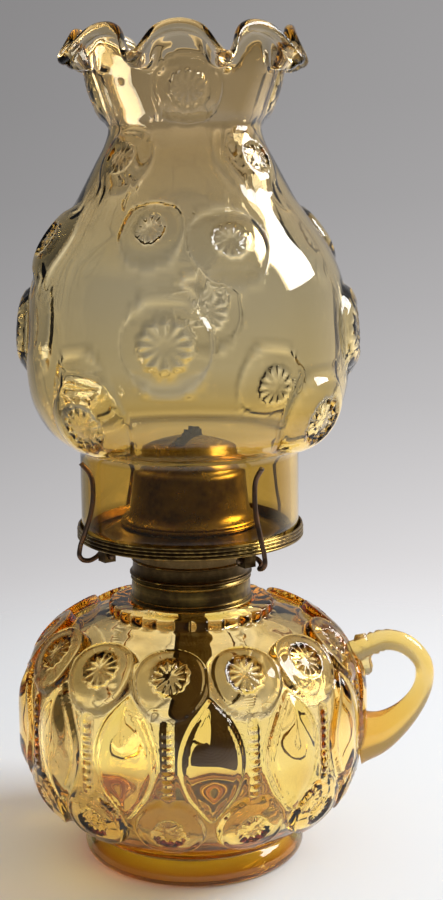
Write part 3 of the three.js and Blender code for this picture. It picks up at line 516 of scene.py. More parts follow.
def mixed_shader(tree, factor, first, second):
    return add_node(tree, "MixShader", {0: factor, 1: first.outputs[0], 2: second.outputs[0]}).outputs[0]


def colour_ramp(tree, factor, levels, hue):
    """A ramp through grey levels, each (place, level), in one hue."""
    ramp = add_node(tree, "ValToRGB", {0: factor})
    points = ramp.color_ramp.elements
    while len(points) < len(levels):
        points.new(0.5)
    for point, (at, level) in zip(points, levels):
        point.position = at
        point.color = (*(level * part for part in hue), 1)
    return ramp.outputs[0]


def tone(colour, share):
    return tuple(min(1, c * share) for c in colour)


# Node groups


def patches(group, place, source):
    """Soft patches: a mask between two levels of a fractal noise."""
    level = noise(group, place, source["Size per metre"], 5.0, 0.62)
    return ranged(group, level, 0.0, 1.0, source["Low"], source["High"])


def rubbed_edges(group, place, source):
    """Rubbed edges: where the surface is sharp, broken up by a fine noise."""
    sharp = add_node(group, "NewGeometry").outputs["Pointiness"]
    broken = math_node(group, "MULTIPLY_ADD", noise(group, place, 420.0, 3.0), 0.07, sharp)
    even = math_node(group, "SUBTRACT", broken, 0.035)
    return ranged(group, even, 0.0, 1.0, source["Start"], source["End"])


def turning_marks(group, place, source):
    """Fine rings left by spinning, and a grain over them, as a height."""
    squash = add_node(group, "Mapping", {"Vector": place, "Scale": (0.02, 0.02, 1.0)})
    rings = noise(group, squash.outputs[0], source["Rings per metre"], 4.0, 0.7)
    return math_node(group, "MULTIPLY_ADD", noise(group, place, 700.0, 2.0), 0.3, rings)


def dust_and_marks(group, place, source):
    """Dust and finger marks: soft smears with finer specks in them."""
    smears = ranged(group, noise(group, place, 38.0, 6.0, 0.7, 0.6), 0.0, 1.0, 0.5, 0.8)
    specks = ranged(group, noise(group, place, 900.0, 1.0), 0.0, 1.0, 0.62, 0.8)
    total = math_node(group, "MAXIMUM", smears, math_node(group, "MULTIPLY", specks, 0.5))
    return math_node(group, "MULTIPLY", total, source["Amount"])


def glass_flow(group, place, source):
    """The slow waves of glass that was worked hot, as a height."""
    stretched = add_node(group, "Mapping", {"Vector": place, "Scale": (1.0, 1.0, 0.45)})
    return noise(group, stretched.outputs[0], source["Waves per metre"], 1.5, 0.4)


# Node groups by name: what fills one, its output, and its inputs after the coordinates
NODE_GROUPS = {
    "Patches": (patches, "Mask", {"Size per metre": 60.0, "Low": 0.4, "High": 0.6}),
    "Rubbed Edges": (rubbed_edges, "Mask", {"Start": 0.52, "End": 0.6}),
    "Turning Marks": (turning_marks, "Height", {"Rings per metre": 900.0}),
    "Dust And Marks": (dust_and_marks, "Mask", {"Amount": 0.5}),
    "Glass Flow": (glass_flow, "Height", {"Waves per metre": 45.0}),
}


def new_group(name):
    fill, result, inputs = NODE_GROUPS[name]
    group = bpy.data.node_groups.new(name, "ShaderNodeTree")
    group.interface.new_socket("Coordinates", in_out="INPUT", socket_type="NodeSocketVector")
    for label, value in inputs.items():
        socket = group.interface.new_socket(label, in_out="INPUT", socket_type="NodeSocketFloat")
        socket.default_value = value
    group.interface.new_socket(result, in_out="OUTPUT", socket_type="NodeSocketFloat")
    source, sink = group.nodes.new("NodeGroupInput").outputs, group.nodes.new("NodeGroupOutput")
    group.links.new(fill(group, source["Coordinates"], source), sink.inputs[result])
    return group


def placed(tree, name, *values):
    """Output of the named group in the object's coordinates, its other inputs set in their order."""
    group = bpy.data.node_groups.get(name) or new_group(name)
    where = tree.nodes.get("Object place") or add_node(tree, "TexCoord", name="Object place")
    inputs = enumerate((where.outputs["Object"], *values))
    return add_node(tree, "Group", inputs, node_tree=group).outputs[0]


# Materials


def material_maker(fill):
    """Makes of fill(tree, shader, ...) a function that fills the named material the first time."""

    def make(name, *details, **more):
        material = bpy.data.materials.get(name)
        if material is None:
            material = bpy.data.materials.new(name)
            material.use_nodes = True
            fill(material.node_tree, material.node_tree.nodes["Principled BSDF"], *details, **more)
        return material

    return make


@material_maker
def clear_glass(
        tree, shader, tint, depth, waves, marks, through, bands, milk=0.0, skin=0.015, swirl=0.0006):
    """Coloured glass: the colour is in its depth, and lamps shine through it.

    through is what one face lets past to lamps. bands are further tints, each with the two heights
    in metres between which it comes in. milk is how clouded the glass is, skin how much of the tint
    lies on its faces, and swirl the height of its waves in metres."""
    blotches = placed(tree, "Patches", 22.0, 0.35, 0.7)
    faces, blotched = (tuple(1 - share + share * c for c in tint) for share in (skin, 0.07))
    base = mixed(tree, blotches, faces, blotched)
    _, _, height = split(tree, tree.nodes["Object place"].outputs["Object"])
    for colour, start, end in bands:
        base = mixed(tree, ranged(tree, height, 0.0, 1.0, start, end), base, colour)
    feed(tree, shader, {
        "Transmission Weight": 1.0 - milk, "IOR": 1.5, "Base Color": base,
        "Roughness": ranged(tree, placed(tree, "Dust And Marks", marks), 0.006, 0.14),
        "Normal": bumped(tree, placed(tree, "Glass Flow", waves), 0.5, swirl)})
    edge = add_node(tree, "LayerWeight", {"Blend": 0.35}).outputs["Facing"]
    streaks = placed(tree, "Patches", 60.0, 0.42, 0.6)
    lit = mixed(tree, streaks, tone(through, 0.55), tone(through, 1.3))
    clear = add_node(tree, "BsdfTransparent", {"Color": mixed(tree, edge, lit, tone(through, 0.45))})
    shadow = add_node(tree, "LightPath").outputs["Is Shadow Ray"]
    absorb = add_node(tree, "VolumeAbsorption", {"Color": (*tint, 1), "Density": depth})
    feed(tree, tree.nodes["Material Output"], {
        "Surface": mixed_shader(tree, shadow, shader, clear), "Volume": absorb.outputs[0]})


@material_maker
def aged_brass(tree, shader, bright_share, edge_start=0.53):
    """Brass with a brown patina, rubbed bright on its edges and in patches."""
    metal = bpy.context.scene.lamp_metal
    brass, patina = tuple(metal.brass), tuple(metal.patina)
    broad = placed(tree, "Patches", 55.0, 0.62 - 0.35 * bright_share, 0.82 - 0.3 * bright_share)
    fine = placed(tree, "Patches", 420.0, 0.45, 0.7)
    worn = placed(tree, "Rubbed Edges", edge_start, edge_start + 0.06)
    aged = mixed(tree, broad, mixed(tree, fine, patina, tone(patina, 1.7)), tone(brass, 0.75))
    smooth = math_node(tree, "MAXIMUM", math_node(tree, "MULTIPLY", broad, 0.55), worn)
    feed(tree, shader, {
        "Metallic": 1.0, "Base Color": mixed(tree, worn, aged, brass),
        "Roughness": ranged(tree, smooth, 0.33, 0.19),
        "Normal": bumped(tree, placed(tree, "Turning Marks", 1300.0), 0.35, 0.00012)})


@material_maker
def spring_wire(tree, shader):
    """Browned steel wire with rust in patches, rubbed where it bends."""
    rust = placed(tree, "Patches", 260.0, 0.42, 0.68)
    worn = placed(tree, "Rubbed Edges", 0.56, 0.66)
    brown = mixed(tree, rust, tuple(bpy.context.scene.lamp_metal.wire), (0.19, 0.095, 0.045))
    feed(tree, shader, {
        "Metallic": 0.85, "Base Color": mixed(tree, worn, brown, (0.34, 0.25, 0.18)),
        "Roughness": ranged(tree, rust, 0.32, 0.62),
        "Normal": bumped(tree, placed(tree, "Turning Marks", 600.0), 0.4, 0.00008)})


@material_maker
def dull_plaster(tree, shader):
    """Old plaster, stained and gritty."""
    stains = placed(tree, "Patches", 180.0, 0.4, 0.7)
    grit = placed(tree, "Patches", 1500.0, 0.3, 0.7)
    feed(tree, shader, {
        "Base Color": mixed(tree, stains, (0.62, 0.57, 0.47), (0.40, 0.33, 0.22)),
        "Roughness": ranged(tree, grit, 0.8, 0.98), "Normal": bumped(tree, grit, 0.6, 0.0002)})


@material_maker
def cotton_tape(tree, shader, warps=16, wefts=90):
    """Woven cotton that follows the wick's UV map, soaked brown and charred at its top."""
    across, up, _ = split(tree, add_node(tree, "UVMap").outputs[0])
    warp = math_node(tree, "SINE", math_node(tree, "MULTIPLY", across, 2 * pi * warps))
    weft = math_node(tree, "SINE", math_node(tree, "MULTIPLY", up, 2 * pi * wefts))
    height = ranged(tree, math_node(tree, "MULTIPLY", warp, weft), 0.0, 1.0, -1.0, 1.0)
    fuzz = placed(tree, "Patches", 2200.0, 0.3, 0.7)
    soak = placed(tree, "Patches", 90.0, 0.35, 0.7)
    cloth = mixed(tree, soak, (0.07, 0.048, 0.023), (0.035, 0.023, 0.011))
    # Painted shade: the weave is darker where its threads dip.
    shaded_weave = mixed(tree, ranged(tree, height, 0.7, 1.0), (0.03, 0.02, 0.01), cloth)
    burnt = ranged(tree, math_node(tree, "MULTIPLY_ADD", fuzz, 0.012, up), 0.0, 1.0, 0.94, 0.965)
    feed(tree, shader, {
        "Specular IOR Level": 0.05, "Base Color": mixed(tree, burnt, shaded_weave, (0.003, 0.0028, 0.0028)),
        "Roughness": ranged(tree, height, 0.95, 0.8),
        "Normal": bumped(tree, math_node(tree, "MULTIPLY_ADD", fuzz, 0.4, height), 0.25, 0.0003)})


# Glass


def font_bowl():
    """The plain bowl from foot to shoulder, in closer steps where the pattern is."""
    radius, low, top = 59.7, 9.2, 88.2
    shares = [
        (0.023, 0.636), (0.092, 0.777), (0.225, 0.926), (0.39, 0.995), (0.516, 1), (0.656, 0.997),
        (0.732, 0.978), (0.795, 0.937), (0.852, 0.886), (0.902, 0.81), (0.947, 0.7), (0.978, 0.58)]
    bowl = [(36.8, low)] + [(r * radius, low + h * (top - low)) for h, r in shares] + [(28.9, top)]
    return smooth_line(bowl, 1.6, [
        (0, 1.6), (20, 1.5), (23, 0.58), (34, 0.58), (37, 1.5), (40, 1.5), (41.5, 0.64), (65.5, 0.64),
        (67, 1.5), (70, 1.4), (72, 0.54), (86, 0.54), (88, 1.1)])


class LAMP_OT_font(bpy.types.Operator):
    """Makes the pressed-glass font with its foot, pattern, crown ring and hollow"""

    bl_idname = "lamp.make_font"
    bl_label = "Font"

    def execute(self, context):
        glass, pattern = context.scene.lamp_glass, context.scene.lamp_pattern
        sole = [(0, 9.0), (9, 8.9), (18, 8.5), (27.0, 7.7), (30.2, 6.6), (34.4, 1.4), (35.0, 0.2)]
        foot = smooth_line([
            (34.1, 0.0), (36.6, 0.05), (38.6, 0.8), (39.55, 2.6), (39.5, 4.4), (38.8, 6.4), (37.6, 8.2),
            (36.9, 9.0)], 0.8)
        bowl = font_bowl()
        crown = [
            (28.6, 88.3), (28.6, 89.5), (28.6, 90.6), (28.4, 91.35), (28.0, 91.7), (27.2, CROWN_TOP),
            (24.0, CROWN_TOP), (19.6, CROWN_TOP)]
        neck = [(19.4, 92.0), (19.4, 98.1), (19.1, 98.4), (18.0, 98.4), (17.9, 98.0), (17.9, 88.6)]
        floor_z, rise, inner = 12.6, 71.4, 56.3
        shares = [
            (1, 0.42), (0.96, 0.62), (0.86, 0.86), (0.72, 0.97), (0.5, 1), (0.3, 0.97), (0.14, 0.86),
            (0.065, 0.7), (0.03, 0.5), (0.008, 0.25)]
        cavity = smooth_line([(r * inner, floor_z + h * rise) for h, r in shares], 9.0)
        outline = np.vstack([sole, foot, bowl, crown, neck, cavity, [(0, floor_z)]])
        obj = spun("pressed_glass_font", outline, FONT_STEPS, closed=False)
        azimuth, radius, z = places(obj)
        plain_at, arc_at, out_at, lift_at = by_height(bowl)
        plain = plain_at(z)
        outside = (z > bowl[0, 1] - 0.01) & (z < bowl[-1, 1] + 0.01) & (radius > plain - 0.5)
        height = font_relief(arc_at(z), plain, azimuth, arc_at, pattern)
        height = np.where(outside, height * ease(z, 10.5, 15) * (1 - ease(z, 86.3, 87.8)), 0)
        tooth = np.abs(np.cos(np.radians((azimuth + 6.6) * pattern.crown_teeth / 2)))
        ring = (z > bowl[-1, 1] - 0.3) & (z < CROWN_TOP + 0.1) & (radius > 26)
        radius = radius + np.where(ring, 1.2 * np.sqrt(tooth) - 0.5, 0)
        put(obj, azimuth, radius + height * out_at(z), z + height * lift_at(z))
        # The last band darkens the foot's bottom edge: painted shade.
        material = clear_glass(
            "Amber Pressed Glass", tuple(glass.font_tint), glass.font_depth, waves=60.0, marks=0.4,
            through=(0.7, 0.64, 0.25), skin=0.055, swirl=0.0012, bands=[
                ((0.96, 0.92, 0.47), 0.046, 0.02), ((0.81, 0.81, 0.52), 0.0115, 0.009),
                ((0.42, 0.2, 0.11), 0.0046, 0.0024)])
        finish(obj, material, "base", "font")
        return {"FINISHED"}


def extruded_rod(name, sides, rows):
    """A rod along z, and the row and the turn of each of its vertices."""
    step = 0.02
    deselect()
    bpy.ops.mesh.primitive_cylinder_add(vertices=sides, radius=0.01, depth=step, location=(0, 0, 0))
    obj = bpy.context.object
    obj.name = name
    choose(obj, "FACE", obj.data.polygons, lambda face: face.normal.z > 0.9)
    for _ in range(rows - 2):
        bpy.ops.mesh.extrude_region_move(TRANSFORM_OT_translate={"value": (0, 0, step)})
    mode("OBJECT")
    x, y, z = coords(obj).T
    return obj, np.rint((z + step / 2) / step).astype(int), np.arctan2(y, x)


class LAMP_OT_handle(bpy.types.Operator):
    """Makes the applied loop handle with its crimped end and its curled tail"""

    bl_idname = "lamp.make_handle"
    bl_label = "Handle"

    def execute(self, context):
        root, reach, low, rise, half = 60.5, 26.2, 28, 51.2, 3.6
        shares = np.array([
            (-0.1, 0.84, 1.15, 1.1), (0.1, 0.885, 1.05, 1.05), (0.36, 0.925, 1.03, 1.0),
            (0.63, 0.885, 0.98, 1.0), (0.83, 0.775, 0.92, 1.0), (0.874, 0.655, 0.92, 1.0),
            (0.815, 0.53, 1.0, 1.05), (0.65, 0.405, 1.28, 1.2), (0.42, 0.305, 1.75, 1.4),
            (0.19, 0.245, 2.35, 1.65), (-0.06, 0.22, 3.0, 1.9)])
        line = smooth_line((root, low, 0, 0) + shares * (reach, rise, half, half), 0.9)
        obj, row, turn = extruded_rod("applied_glass_handle", 40, len(line))
        along, centre = directions(line[:, :2])[row], line[row, :2]
        thick, wide, far = line[row, 2], line[row, 3], arc_of(line[:, :2])[row]
        crimp = 7.5
        pinch = ridge(far, crimp, 4.5) * (1 + np.cos(far * 2 * pi / 2.6)) / 2
        swell = 1 + 0.26 * pinch - 0.10 * ridge(far, crimp, 5.5)
        slump = 1 + 0.025 * np.sin(far / 9.0 + 2 * turn) + 0.02 * np.sin(far / 4.1 - turn)
        out = thick * swell * slump * np.cos(turn)
        x, z = (centre + out[:, None] * np.column_stack([-along[:, 1], along[:, 0]])).T
        set_coords(obj, x, wide * slump * np.sin(turn), z)
        edit(obj)
        close_edit()
        tail = [(60.2, 0.2, 77.6), (60.6, -0.6, 75.2), (61.6, -0.9, 72.6), (62.2, -0.5, 70.2),
                (62.3, -0.2, 68.0), (62.6, -0.1, 65.6), (62.9, 0.0, 63.6), (63.0, 0.0, 62.5)]
        curl = tube("curled_tail", [Vector(place) * MM + AXIS for place in tail], MM, 10, 8,
                    swells=(1.9, 3.0, 2.9, 2.1, 2.0, 2.3, 1.8, 0.7))
        combine(obj, curl, "UNION")
        bpy.ops.object.shade_smooth()
        material = clear_glass(
            "Honey Applied Glass", tuple(context.scene.lamp_glass.handle_tint), 150.0, waves=80.0,
            marks=0.3, through=(0.8, 0.72, 0.5), milk=0.2, skin=0.65,
            bands=[((0.97, 0.76, 0.22), 0.06, 0.036)])
        finish(obj, material, "base", "handle")
        return {"FINISHED"}


def chimney_line():
    """The chimney over its fitter, up to the rim's middle, in closer steps where the stars are."""
    bulb, waist, rim = 55.6, 25.7, 38.5
    ledge, widest, narrow, top = 31.2, 66.4, 139.2, 168.0
    lower = [(0, 0.06), (0.05, 0.28), (0.18, 0.59), (0.33, 0.785), (0.5, 0.92), (0.72, 0.985)]
    upper = [(0, 1), (0.212, 0.957), (0.336, 0.885), (0.445, 0.766), (0.555, 0.585), (0.664, 0.395),
             (0.733, 0.3), (0.842, 0.157), (0.925, 0.05), (1, 0)]
    flare = [(0.12, 0.15), (0.287, 0.31), (0.467, 0.45), (0.71, 0.57), (0.86, 0.75), (0.95, 0.9), (1, 1)]
    points = []
    for shares, inner, outer, start, end in (
            (lower, FITTER_RADIUS, bulb, ledge, widest), (upper, waist, bulb, widest, narrow),
            (flare, waist, rim, narrow, top)):
        points += [(inner + r * (outer - inner), start + h * (end - start)) for h, r in shares]
    starred = [(38, 54), (64, 79), (96, 109), (123, 134), (146, 157)]
    between = [1.6, 2.2, 2.2, 2.2, 2, 1.2]
    spacing = []
    for (low, high), before, after in zip(starred, between, between[1:]):
        spacing += [(low - 2, before), (low, 0.85), (high, 0.85), (high + 2, after)]
    return smooth_line(points, 1.2, spacing)


def crimp_depth(azimuth, crimps):
    """How far into a valley of the rim each azimuth is, and how deep that valley is. The valleys
    are hand crimped, so they stand a few degrees out of step."""
    facing, astray = 19, 3.2
    spacing = 360 / crimps
    count = np.arange(crimps + 1)
    even = facing - spacing * (crimps // 2) + count * spacing
    centres = even + astray * np.sin(np.radians(even - facing + 180))
    phase = np.interp((azimuth - centres[0]) % 360 + centres[0], centres, count)
    wave = (1 + np.cos(2 * pi * phase)) / 2
    valley = 0.8715 / (1 + ((1 - wave) / 0.17) ** 1.7) - 0.05 + 0.18 * wave
    return valley, 9.0 + 1.2 * np.cos(np.radians(azimuth - 30))


class LAMP_OT_chimney(bpy.types.Operator):
    """Makes the blown chimney with its bosses and its crimped rim"""

    bl_idname = "lamp.make_chimney"
    bl_label = "Chimney"

    def execute(self, context):
        glass, pattern = context.scene.lamp_glass, context.scene.lamp_pattern
        wall, lip, lip_rise, crimp = 2.4, 2.0, 1.5, 3.2
        fitter = [(FITTER_RADIUS, z) for z in (0.5, 6.0, 14.0, 22.0, 28.5)] + [(38.2, 30.4)]
        outer = np.vstack([fitter, chimney_line()])
        normals = side_normals(outer)
        inner = outer - normals * wall
        last = len(inner) - 1
        kept = [i for i in range(len(inner)) if i < len(fitter) or i % 2 == 0 or i > last - 3]
        side = normals[-1]
        along = np.array([-side[1], side[0]])
        middle = (outer[-1] + inner[-1]) / 2 + lip_rise * along
        rim = [middle + lip * (side * cos(t) + along * sin(t))
               for t in np.radians(np.linspace(-45, 225, 13))]
        foot = [(FITTER_RADIUS - wall + 0.4, 0.0), (FITTER_RADIUS - 0.4, 0.0)]
        outline = np.vstack([outer, rim, inner[kept][::-1], foot]) + (0, SEAT)
        obj = spun("blown_glass_chimney", outline, CHIMNEY_STEPS)
        azimuth, radius, z = places(obj)
        z = z - SEAT
        plain_at, arc_at, out_at, lift_at = by_height(outer)
        plain, out, lift = plain_at(z), out_at(z), lift_at(z)
        outside = radius > plain - 0.6
        here = arc_at(np.where(outside, z, z + wall * lift))
        domes, stars = chimney_relief(here, plain, azimuth, arc_at, pattern.star_rays)
        height = np.where(outside, domes + stars, 0.9 * domes) * ease(z, 31.5, 33.5)
        radius, z = radius + height * out, z + height * lift
        valley, deep = crimp_depth(azimuth, pattern.crimps)
        radius = radius + (2 * valley - 1) * crimp * ease(z, 159, 169)
        z = z - valley * deep * ease(z, 156, 168)
        put(obj, azimuth, radius, z + SEAT)
        material = clear_glass(
            "Pale Amber Blown Glass", tuple(glass.chimney_tint), glass.chimney_depth, waves=45.0,
            marks=0.45, through=(0.93, 0.9, 0.8), bands=[
                ((1.0, 0.96, 0.83), 0.2, 0.172), ((0.85, 0.71, 0.36), 0.167, 0.152),
                ((0.95, 0.87, 0.76), 0.212, 0.25)])
        finish(obj, material, "chimney", "chimney")
        return {"FINISHED"}


# Brass


class LAMP_OT_collar(bpy.types.Operator):
    """Makes the threaded collar on the font's neck"""

    bl_idname = "lamp.make_collar"
    bl_label = "Collar"

    def execute(self, context):
        outline = beaded([
            (20.5, 0), (21.3, 0.05), (21.35, 0.6, 0.5), (21.1, 1.25), (21.0, 1.6), (21.15, 2.2, 0.3),
            (21.0, 2.8), (21.05, 5.2), (20.9, 7.0), (20.75, 7.6), (20.95, 8.3, 0.35), (20.6, 9.3),
            (16.6, 9.3), (16.2, 8.9), (16.2, 0.6), (17.0, 0.6), (17.0, 8.5), (20.2, 8.5), (20.3, 0.2)],
            COLLAR_BOTTOM)
        obj = spun("brass_collar", outline, BRASS_STEPS)
        crisp(obj, 40)
        finish(obj, aged_brass("Dark Aged Brass", 0.42), "base", "collar")
        return {"FINISHED"}


def wick_frame_cut(obj, boxes):
    """Cuts boxes out of obj. Each is centre and size in the wick's own frame, in millimetres."""
    for centre, size in boxes:
        deselect()
        bpy.ops.mesh.primitive_cube_add(size=1, location=(0, 0, 0))
        tool = bpy.context.object
        tool.scale = Vector(size) * MM
        tool.rotation_euler = (0, 0, WICK_TURN)
        tool.location = AXIS + Matrix.Rotation(WICK_TURN, 3, "Z") @ (Vector(centre) * MM)
        bpy.context.view_layer.update()
        combine(obj, tool, "DIFFERENCE")


class LAMP_OT_cup(bpy.types.Operator):
    """Makes the burner's cup with the sleeve that screws into the collar"""

    bl_idname = "lamp.make_cup"
    bl_label = "Burner cup"

    def execute(self, context):
        outline = beaded([
            (0, 0), (15.1, 0), (15.1, -7.4), (15.85, -7.4), (15.85, 0), (20.9, 0), (21.2, 0.5, 0.45),
            (20.9, 1.1), (20.7, 1.5), (20.55, 3.2), (20.5, 5.0), (20.75, 5.6, 0.3), (20.5, 6.2),
            (20.6, 8.0), (20.95, 9.6), (21.0, 10.4), (20.2, 10.4), (19.8, 5.0), (19.8, 0.8), (0, 0.8)],
            CUP_BOTTOM)
        obj = spun("brass_burner_cup", outline, BRASS_STEPS, closed=False)
        wick_frame_cut(obj, [
            ((0, 0, CUP_BOTTOM), (27.5, 4.5, 6)),
            ((20.5, SHAFT_ASIDE, SHAFT_Z), (7, 5.2, 5.2)),
            ((0, -4.85, CUP_BOTTOM), (3.2, 3.2, 6))])
        crisp(obj, 40)
        finish(obj, aged_brass("Browned Brass", 0.05, 0.56), "burner", "burner_cup")
        return {"FINISHED"}


class LAMP_OT_gallery(bpy.types.Operator):
    """Makes the gallery: the dish that carries the chimney, with its beaded rim"""

    bl_idname = "lamp.make_gallery"
    bl_label = "Gallery"

    def execute(self, context):
        outline = beaded([
            (20.4, 112.4), (23.0, 112.4), (23.3, 112.9), (23.7, 118.0), (24.2, 118.6), (24.8, 118.7),
            (27.5, 117.6), (31.5, 116.0), (34.0, 115.4), (37.5, 115.35), (39.0, 115.5),
            (39.3, 116.05, 0.5), (39.15, 116.65), (39.25, 117.25, 0.45), (39.15, 117.9),
            (39.25, 118.5, 0.45), (39.1, 119.1), (39.15, 119.6, 0.35), (38.75, GALLERY_RIM),
            (38.6, 119.4), (38.6, 116.5), (38.2, 116.2), (34.4, 116.2), (32.0, 116.9), (27.8, 118.5),
            (25.2, 119.6), (24.5, 119.8), (23.7, 119.6), (23.0, 118.9), (22.5, 113.3), (22.2, 113.15),
            (20.4, 113.15)])
        obj = spun("brass_gallery", outline, GALLERY_STEPS)
        azimuth, radius, z = places(obj)
        band = (radius > 39.0) & (np.abs(z - 117.9) < 1.1)
        radius = radius + np.where(band, 0.14 * np.sin(np.radians(azimuth * 96)), 0)
        put(obj, azimuth, radius, z)
        crisp(obj, 50)
        finish(obj, aged_brass("Dull Gilt Brass", 0.4, 0.545), "burner", "gallery")
        return {"FINISHED"}


class LAMP_OT_cone(bpy.types.Operator):
    """Makes the tapered cone with its beaded foot, its dome and the blaze slot"""

    bl_idname = "lamp.make_cone"
    bl_label = "Cone"

    def execute(self, context):
        base, wall, crown = 120.15, 0.8, DOME_BASE + DOME_RISE
        drum = [(23.2, 2.6), (21.9, 3.6), (21.1, 5.1), (20.7, 7.0), (20.35, 10.0), (19.95, 14.0),
                (19.6, 17.8)]
        shoulder = [(18.95, DRUM_TOP - 0.1), (18.1, DRUM_TOP + 0.5), (17.7, DRUM_TOP + 0.7)]
        outer = np.vstack([
            [(24.0, base)], arc_points(24.0, base + 0.75, 0.45, 0.55, [-60, -20, 20, 60]),
            [(23.7, base + 1.45)], arc_points(23.55, base + 1.95, 0.35, 0.42, [-50, 0, 50]),
            smooth_line([(r, base + z) for r, z in drum] + shoulder, 0.9),
            arc_points(0, DOME_BASE, DOME_RADIUS, DOME_RISE, [0, 12, 24, 36, 48, 58, 68])])
        inner = outer - side_normals(outer) * wall
        outline = np.vstack([outer, [(0, crown + 0.1), (0, crown - 0.7)], inner[::-1]])
        obj = spun("brass_cone", outline, BRASS_STEPS)
        wick_frame_cut(obj, [((0, 0, crown), (28, 5.6, 13.6))])
        crisp(obj, 40)
        finish(obj, aged_brass("Heat Dulled Brass", 0.68), "burner", "cone")
        return {"FINISHED"}


class LAMP_OT_thumb_wheel(bpy.types.Operator):
    """Makes the notched thumb wheel that winds the wick"""

    bl_idname = "lamp.make_thumb_wheel"
    bl_label = "Thumb wheel"

    def execute(self, context):
        notches, middle = 30, (42.8, SHAFT_ASIDE, SHAFT_Z)
        half = [(1.4, 2.2), (2.6, 2.2), (2.8, 2.0), (2.8, 1.2), (3.4, 0.95), (5.6, 0.75), (6.3, 1.15),
                (7.1, 1.2), (7.5, 0.9)]
        profile = [(r, -x) for r, x in half] + half[::-1]
        obj = drawn("thumb_wheel_knob", [(x * MM, 0, r * MM) for r, x in profile])
        spin(obj, notches * 6, (0, 0, 0), (1, 0, 0))
        co = coords(obj) / MM
        radius = np.hypot(co[:, 1], co[:, 2])
        turn = np.arctan2(co[:, 2], co[:, 1])
        cut = 0.55 * np.abs(np.cos(turn * notches / 2)) ** 6 * (radius > 7)
        co[:, 1:] *= ((radius - cut) / radius)[:, None]
        turned = np.array(Matrix.Rotation(WICK_TURN, 3, "Z"))
        set_coords(obj, *((co + np.array(middle)) @ turned.T).T)
        crisp(obj, 35)
        finish(obj, aged_brass("Golden Aged Brass", 0.55), "raiser", "thumb_wheel")
        return {"FINISHED"}


class LAMP_OT_fittings(bpy.types.Operator):
    """Gives the burner's inner parts, the clips and the plaster their finishes"""

    bl_idname = "lamp.make_fittings"
    bl_label = "Inner fittings"

    def execute(self, context):
        inner = ["air_diffuser", "wick_tube", "gear_housing", "shaft_bushing", "vent_tube", "wick_shaft"]
        for name in inner + [f"spur_wheel_{k}" for k in (1, 2, 3)]:
            dress(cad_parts[name], aged_brass("Tarnished Inner Brass", 0.5))
        for k in (1, 2, 3, 4):
            dress(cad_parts[f"prong_clip_{k}"], aged_brass("Blackened Brass", 0.0, 0.9))
        dress(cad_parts["collar_plaster"], dull_plaster("Set Plaster"))
        return {"FINISHED"}


# Wire and cloth


def prong_points(azimuth, lean, diameter):
    """The wire's way from its eye under the gallery, round the rim and up to the fitter, in metres."""
    d = diameter / MM
    gap, eye, pivot, pivot_z, loop_z = 0.3, 3.8, 34.4, 112.95, 110.55
    outside = 39.9 + gap + d
    contact, contact_z = FITTER_RADIUS + gap + d / 2, 136
    side = copysign(eye, lean)
    aside = radians(lean) * FITTER_RADIUS
    route = [
        (pivot, -side, pivot_z), (pivot, 0, pivot_z), (pivot, side, pivot_z),
        (pivot + d, side + copysign(d / 2, lean), loop_z + d / 2),
        ((pivot + outside) / 2 + d / 2, aside, loop_z), (outside, aside, loop_z + d),
        (outside, aside, (loop_z + GALLERY_RIM) / 2), (outside - d / 4, aside / 2, GALLERY_RIM + d / 2),
        (contact + d / 4, aside / 8, contact_z - 4 * d), (contact, 0, contact_z),
        (contact + d / 4, aside / 8, contact_z + 3 * d), (contact + 2.9, aside / 2, 145.4)]
    turn = Matrix.Rotation(radians(azimuth), 3, "Z")
    return [AXIS + turn @ (Vector((x, -r, z)) * MM) for r, x, z in route]


class LAMP_OT_prongs(bpy.types.Operator):
    """Makes the four sprung wires that hold the chimney"""

    bl_idname = "lamp.make_prongs"
    bl_label = "Prongs"

    def execute(self, context):
        diameter = context.scene.lamp_metal.wire_diameter
        for k, (azimuth, lean) in enumerate(PRONGS, 1):
            obj = tube(f"spring_prong_{k}", prong_points(azimuth, lean, diameter), diameter / 2, 6, 4)
            finish(obj, spring_wire("Browned Spring Wire"), f"prong_{k}", f"prong_{k}")
        return {"FINISHED"}


class LAMP_OT_wick(bpy.types.Operator):
    """Makes the woven wick with its charred top edge"""

    bl_idname = "lamp.make_wick"
    bl_label = "Wick"

    def execute(self, context):
        width, low, top, thick = 25.0, 28.0, 153.2, 2.0
        slack, below_trim, over_dome, twist = 0.4, 0.9, 1.6, radians(26)
        deselect()
        bpy.ops.mesh.primitive_grid_add(
            x_subdivisions=40, y_subdivisions=200, size=1, calc_uvs=True, location=(0, 0, 0))
        obj = bpy.context.object
        obj.name = "woven_wick"
        u, v = (coords(obj) + 0.5)[:, :2].T
        ragged = 0.5 * np.sin(u * 23) + 0.45 * np.sin(u * 67 + 1) + 0.4 * np.sin(u * 131 + 2)
        arch = DOME_RISE * np.sqrt(1 - ((2 * u - 1) * width / 2 / DOME_RADIUS) ** 2)
        trimmed = DOME_BASE + over_dome + arch + ragged
        even = low + below_trim * (top - low)
        z = np.where(v < below_trim, low + v * (top - low),
                     even + (trimmed - even) * (v - below_trim) / (1 - below_trim))
        across = (u - 0.5) * (width - slack)
        sway = 0.35 * np.sin(u * 9 + v * 14) * (1 - ease(z, 80, 96))
        turn = WICK_TURN - twist * (1 - ease(z, 40, 94))
        x = across * np.cos(turn) - sway * np.sin(turn)
        y = across * np.sin(turn) + sway * np.cos(turn)
        set_coords(obj, x, y, z)
        body = obj.modifiers.new("Thickness", "SOLIDIFY")
        body.thickness = (thick - slack) * MM
        body.offset = 0
        bpy.ops.object.modifier_apply(modifier=body.name)
        bpy.ops.object.shade_smooth()
        finish(obj, cotton_tape("Woven Cotton Wick"), "wick", "wick")
        return {"FINISHED"}


# Stage


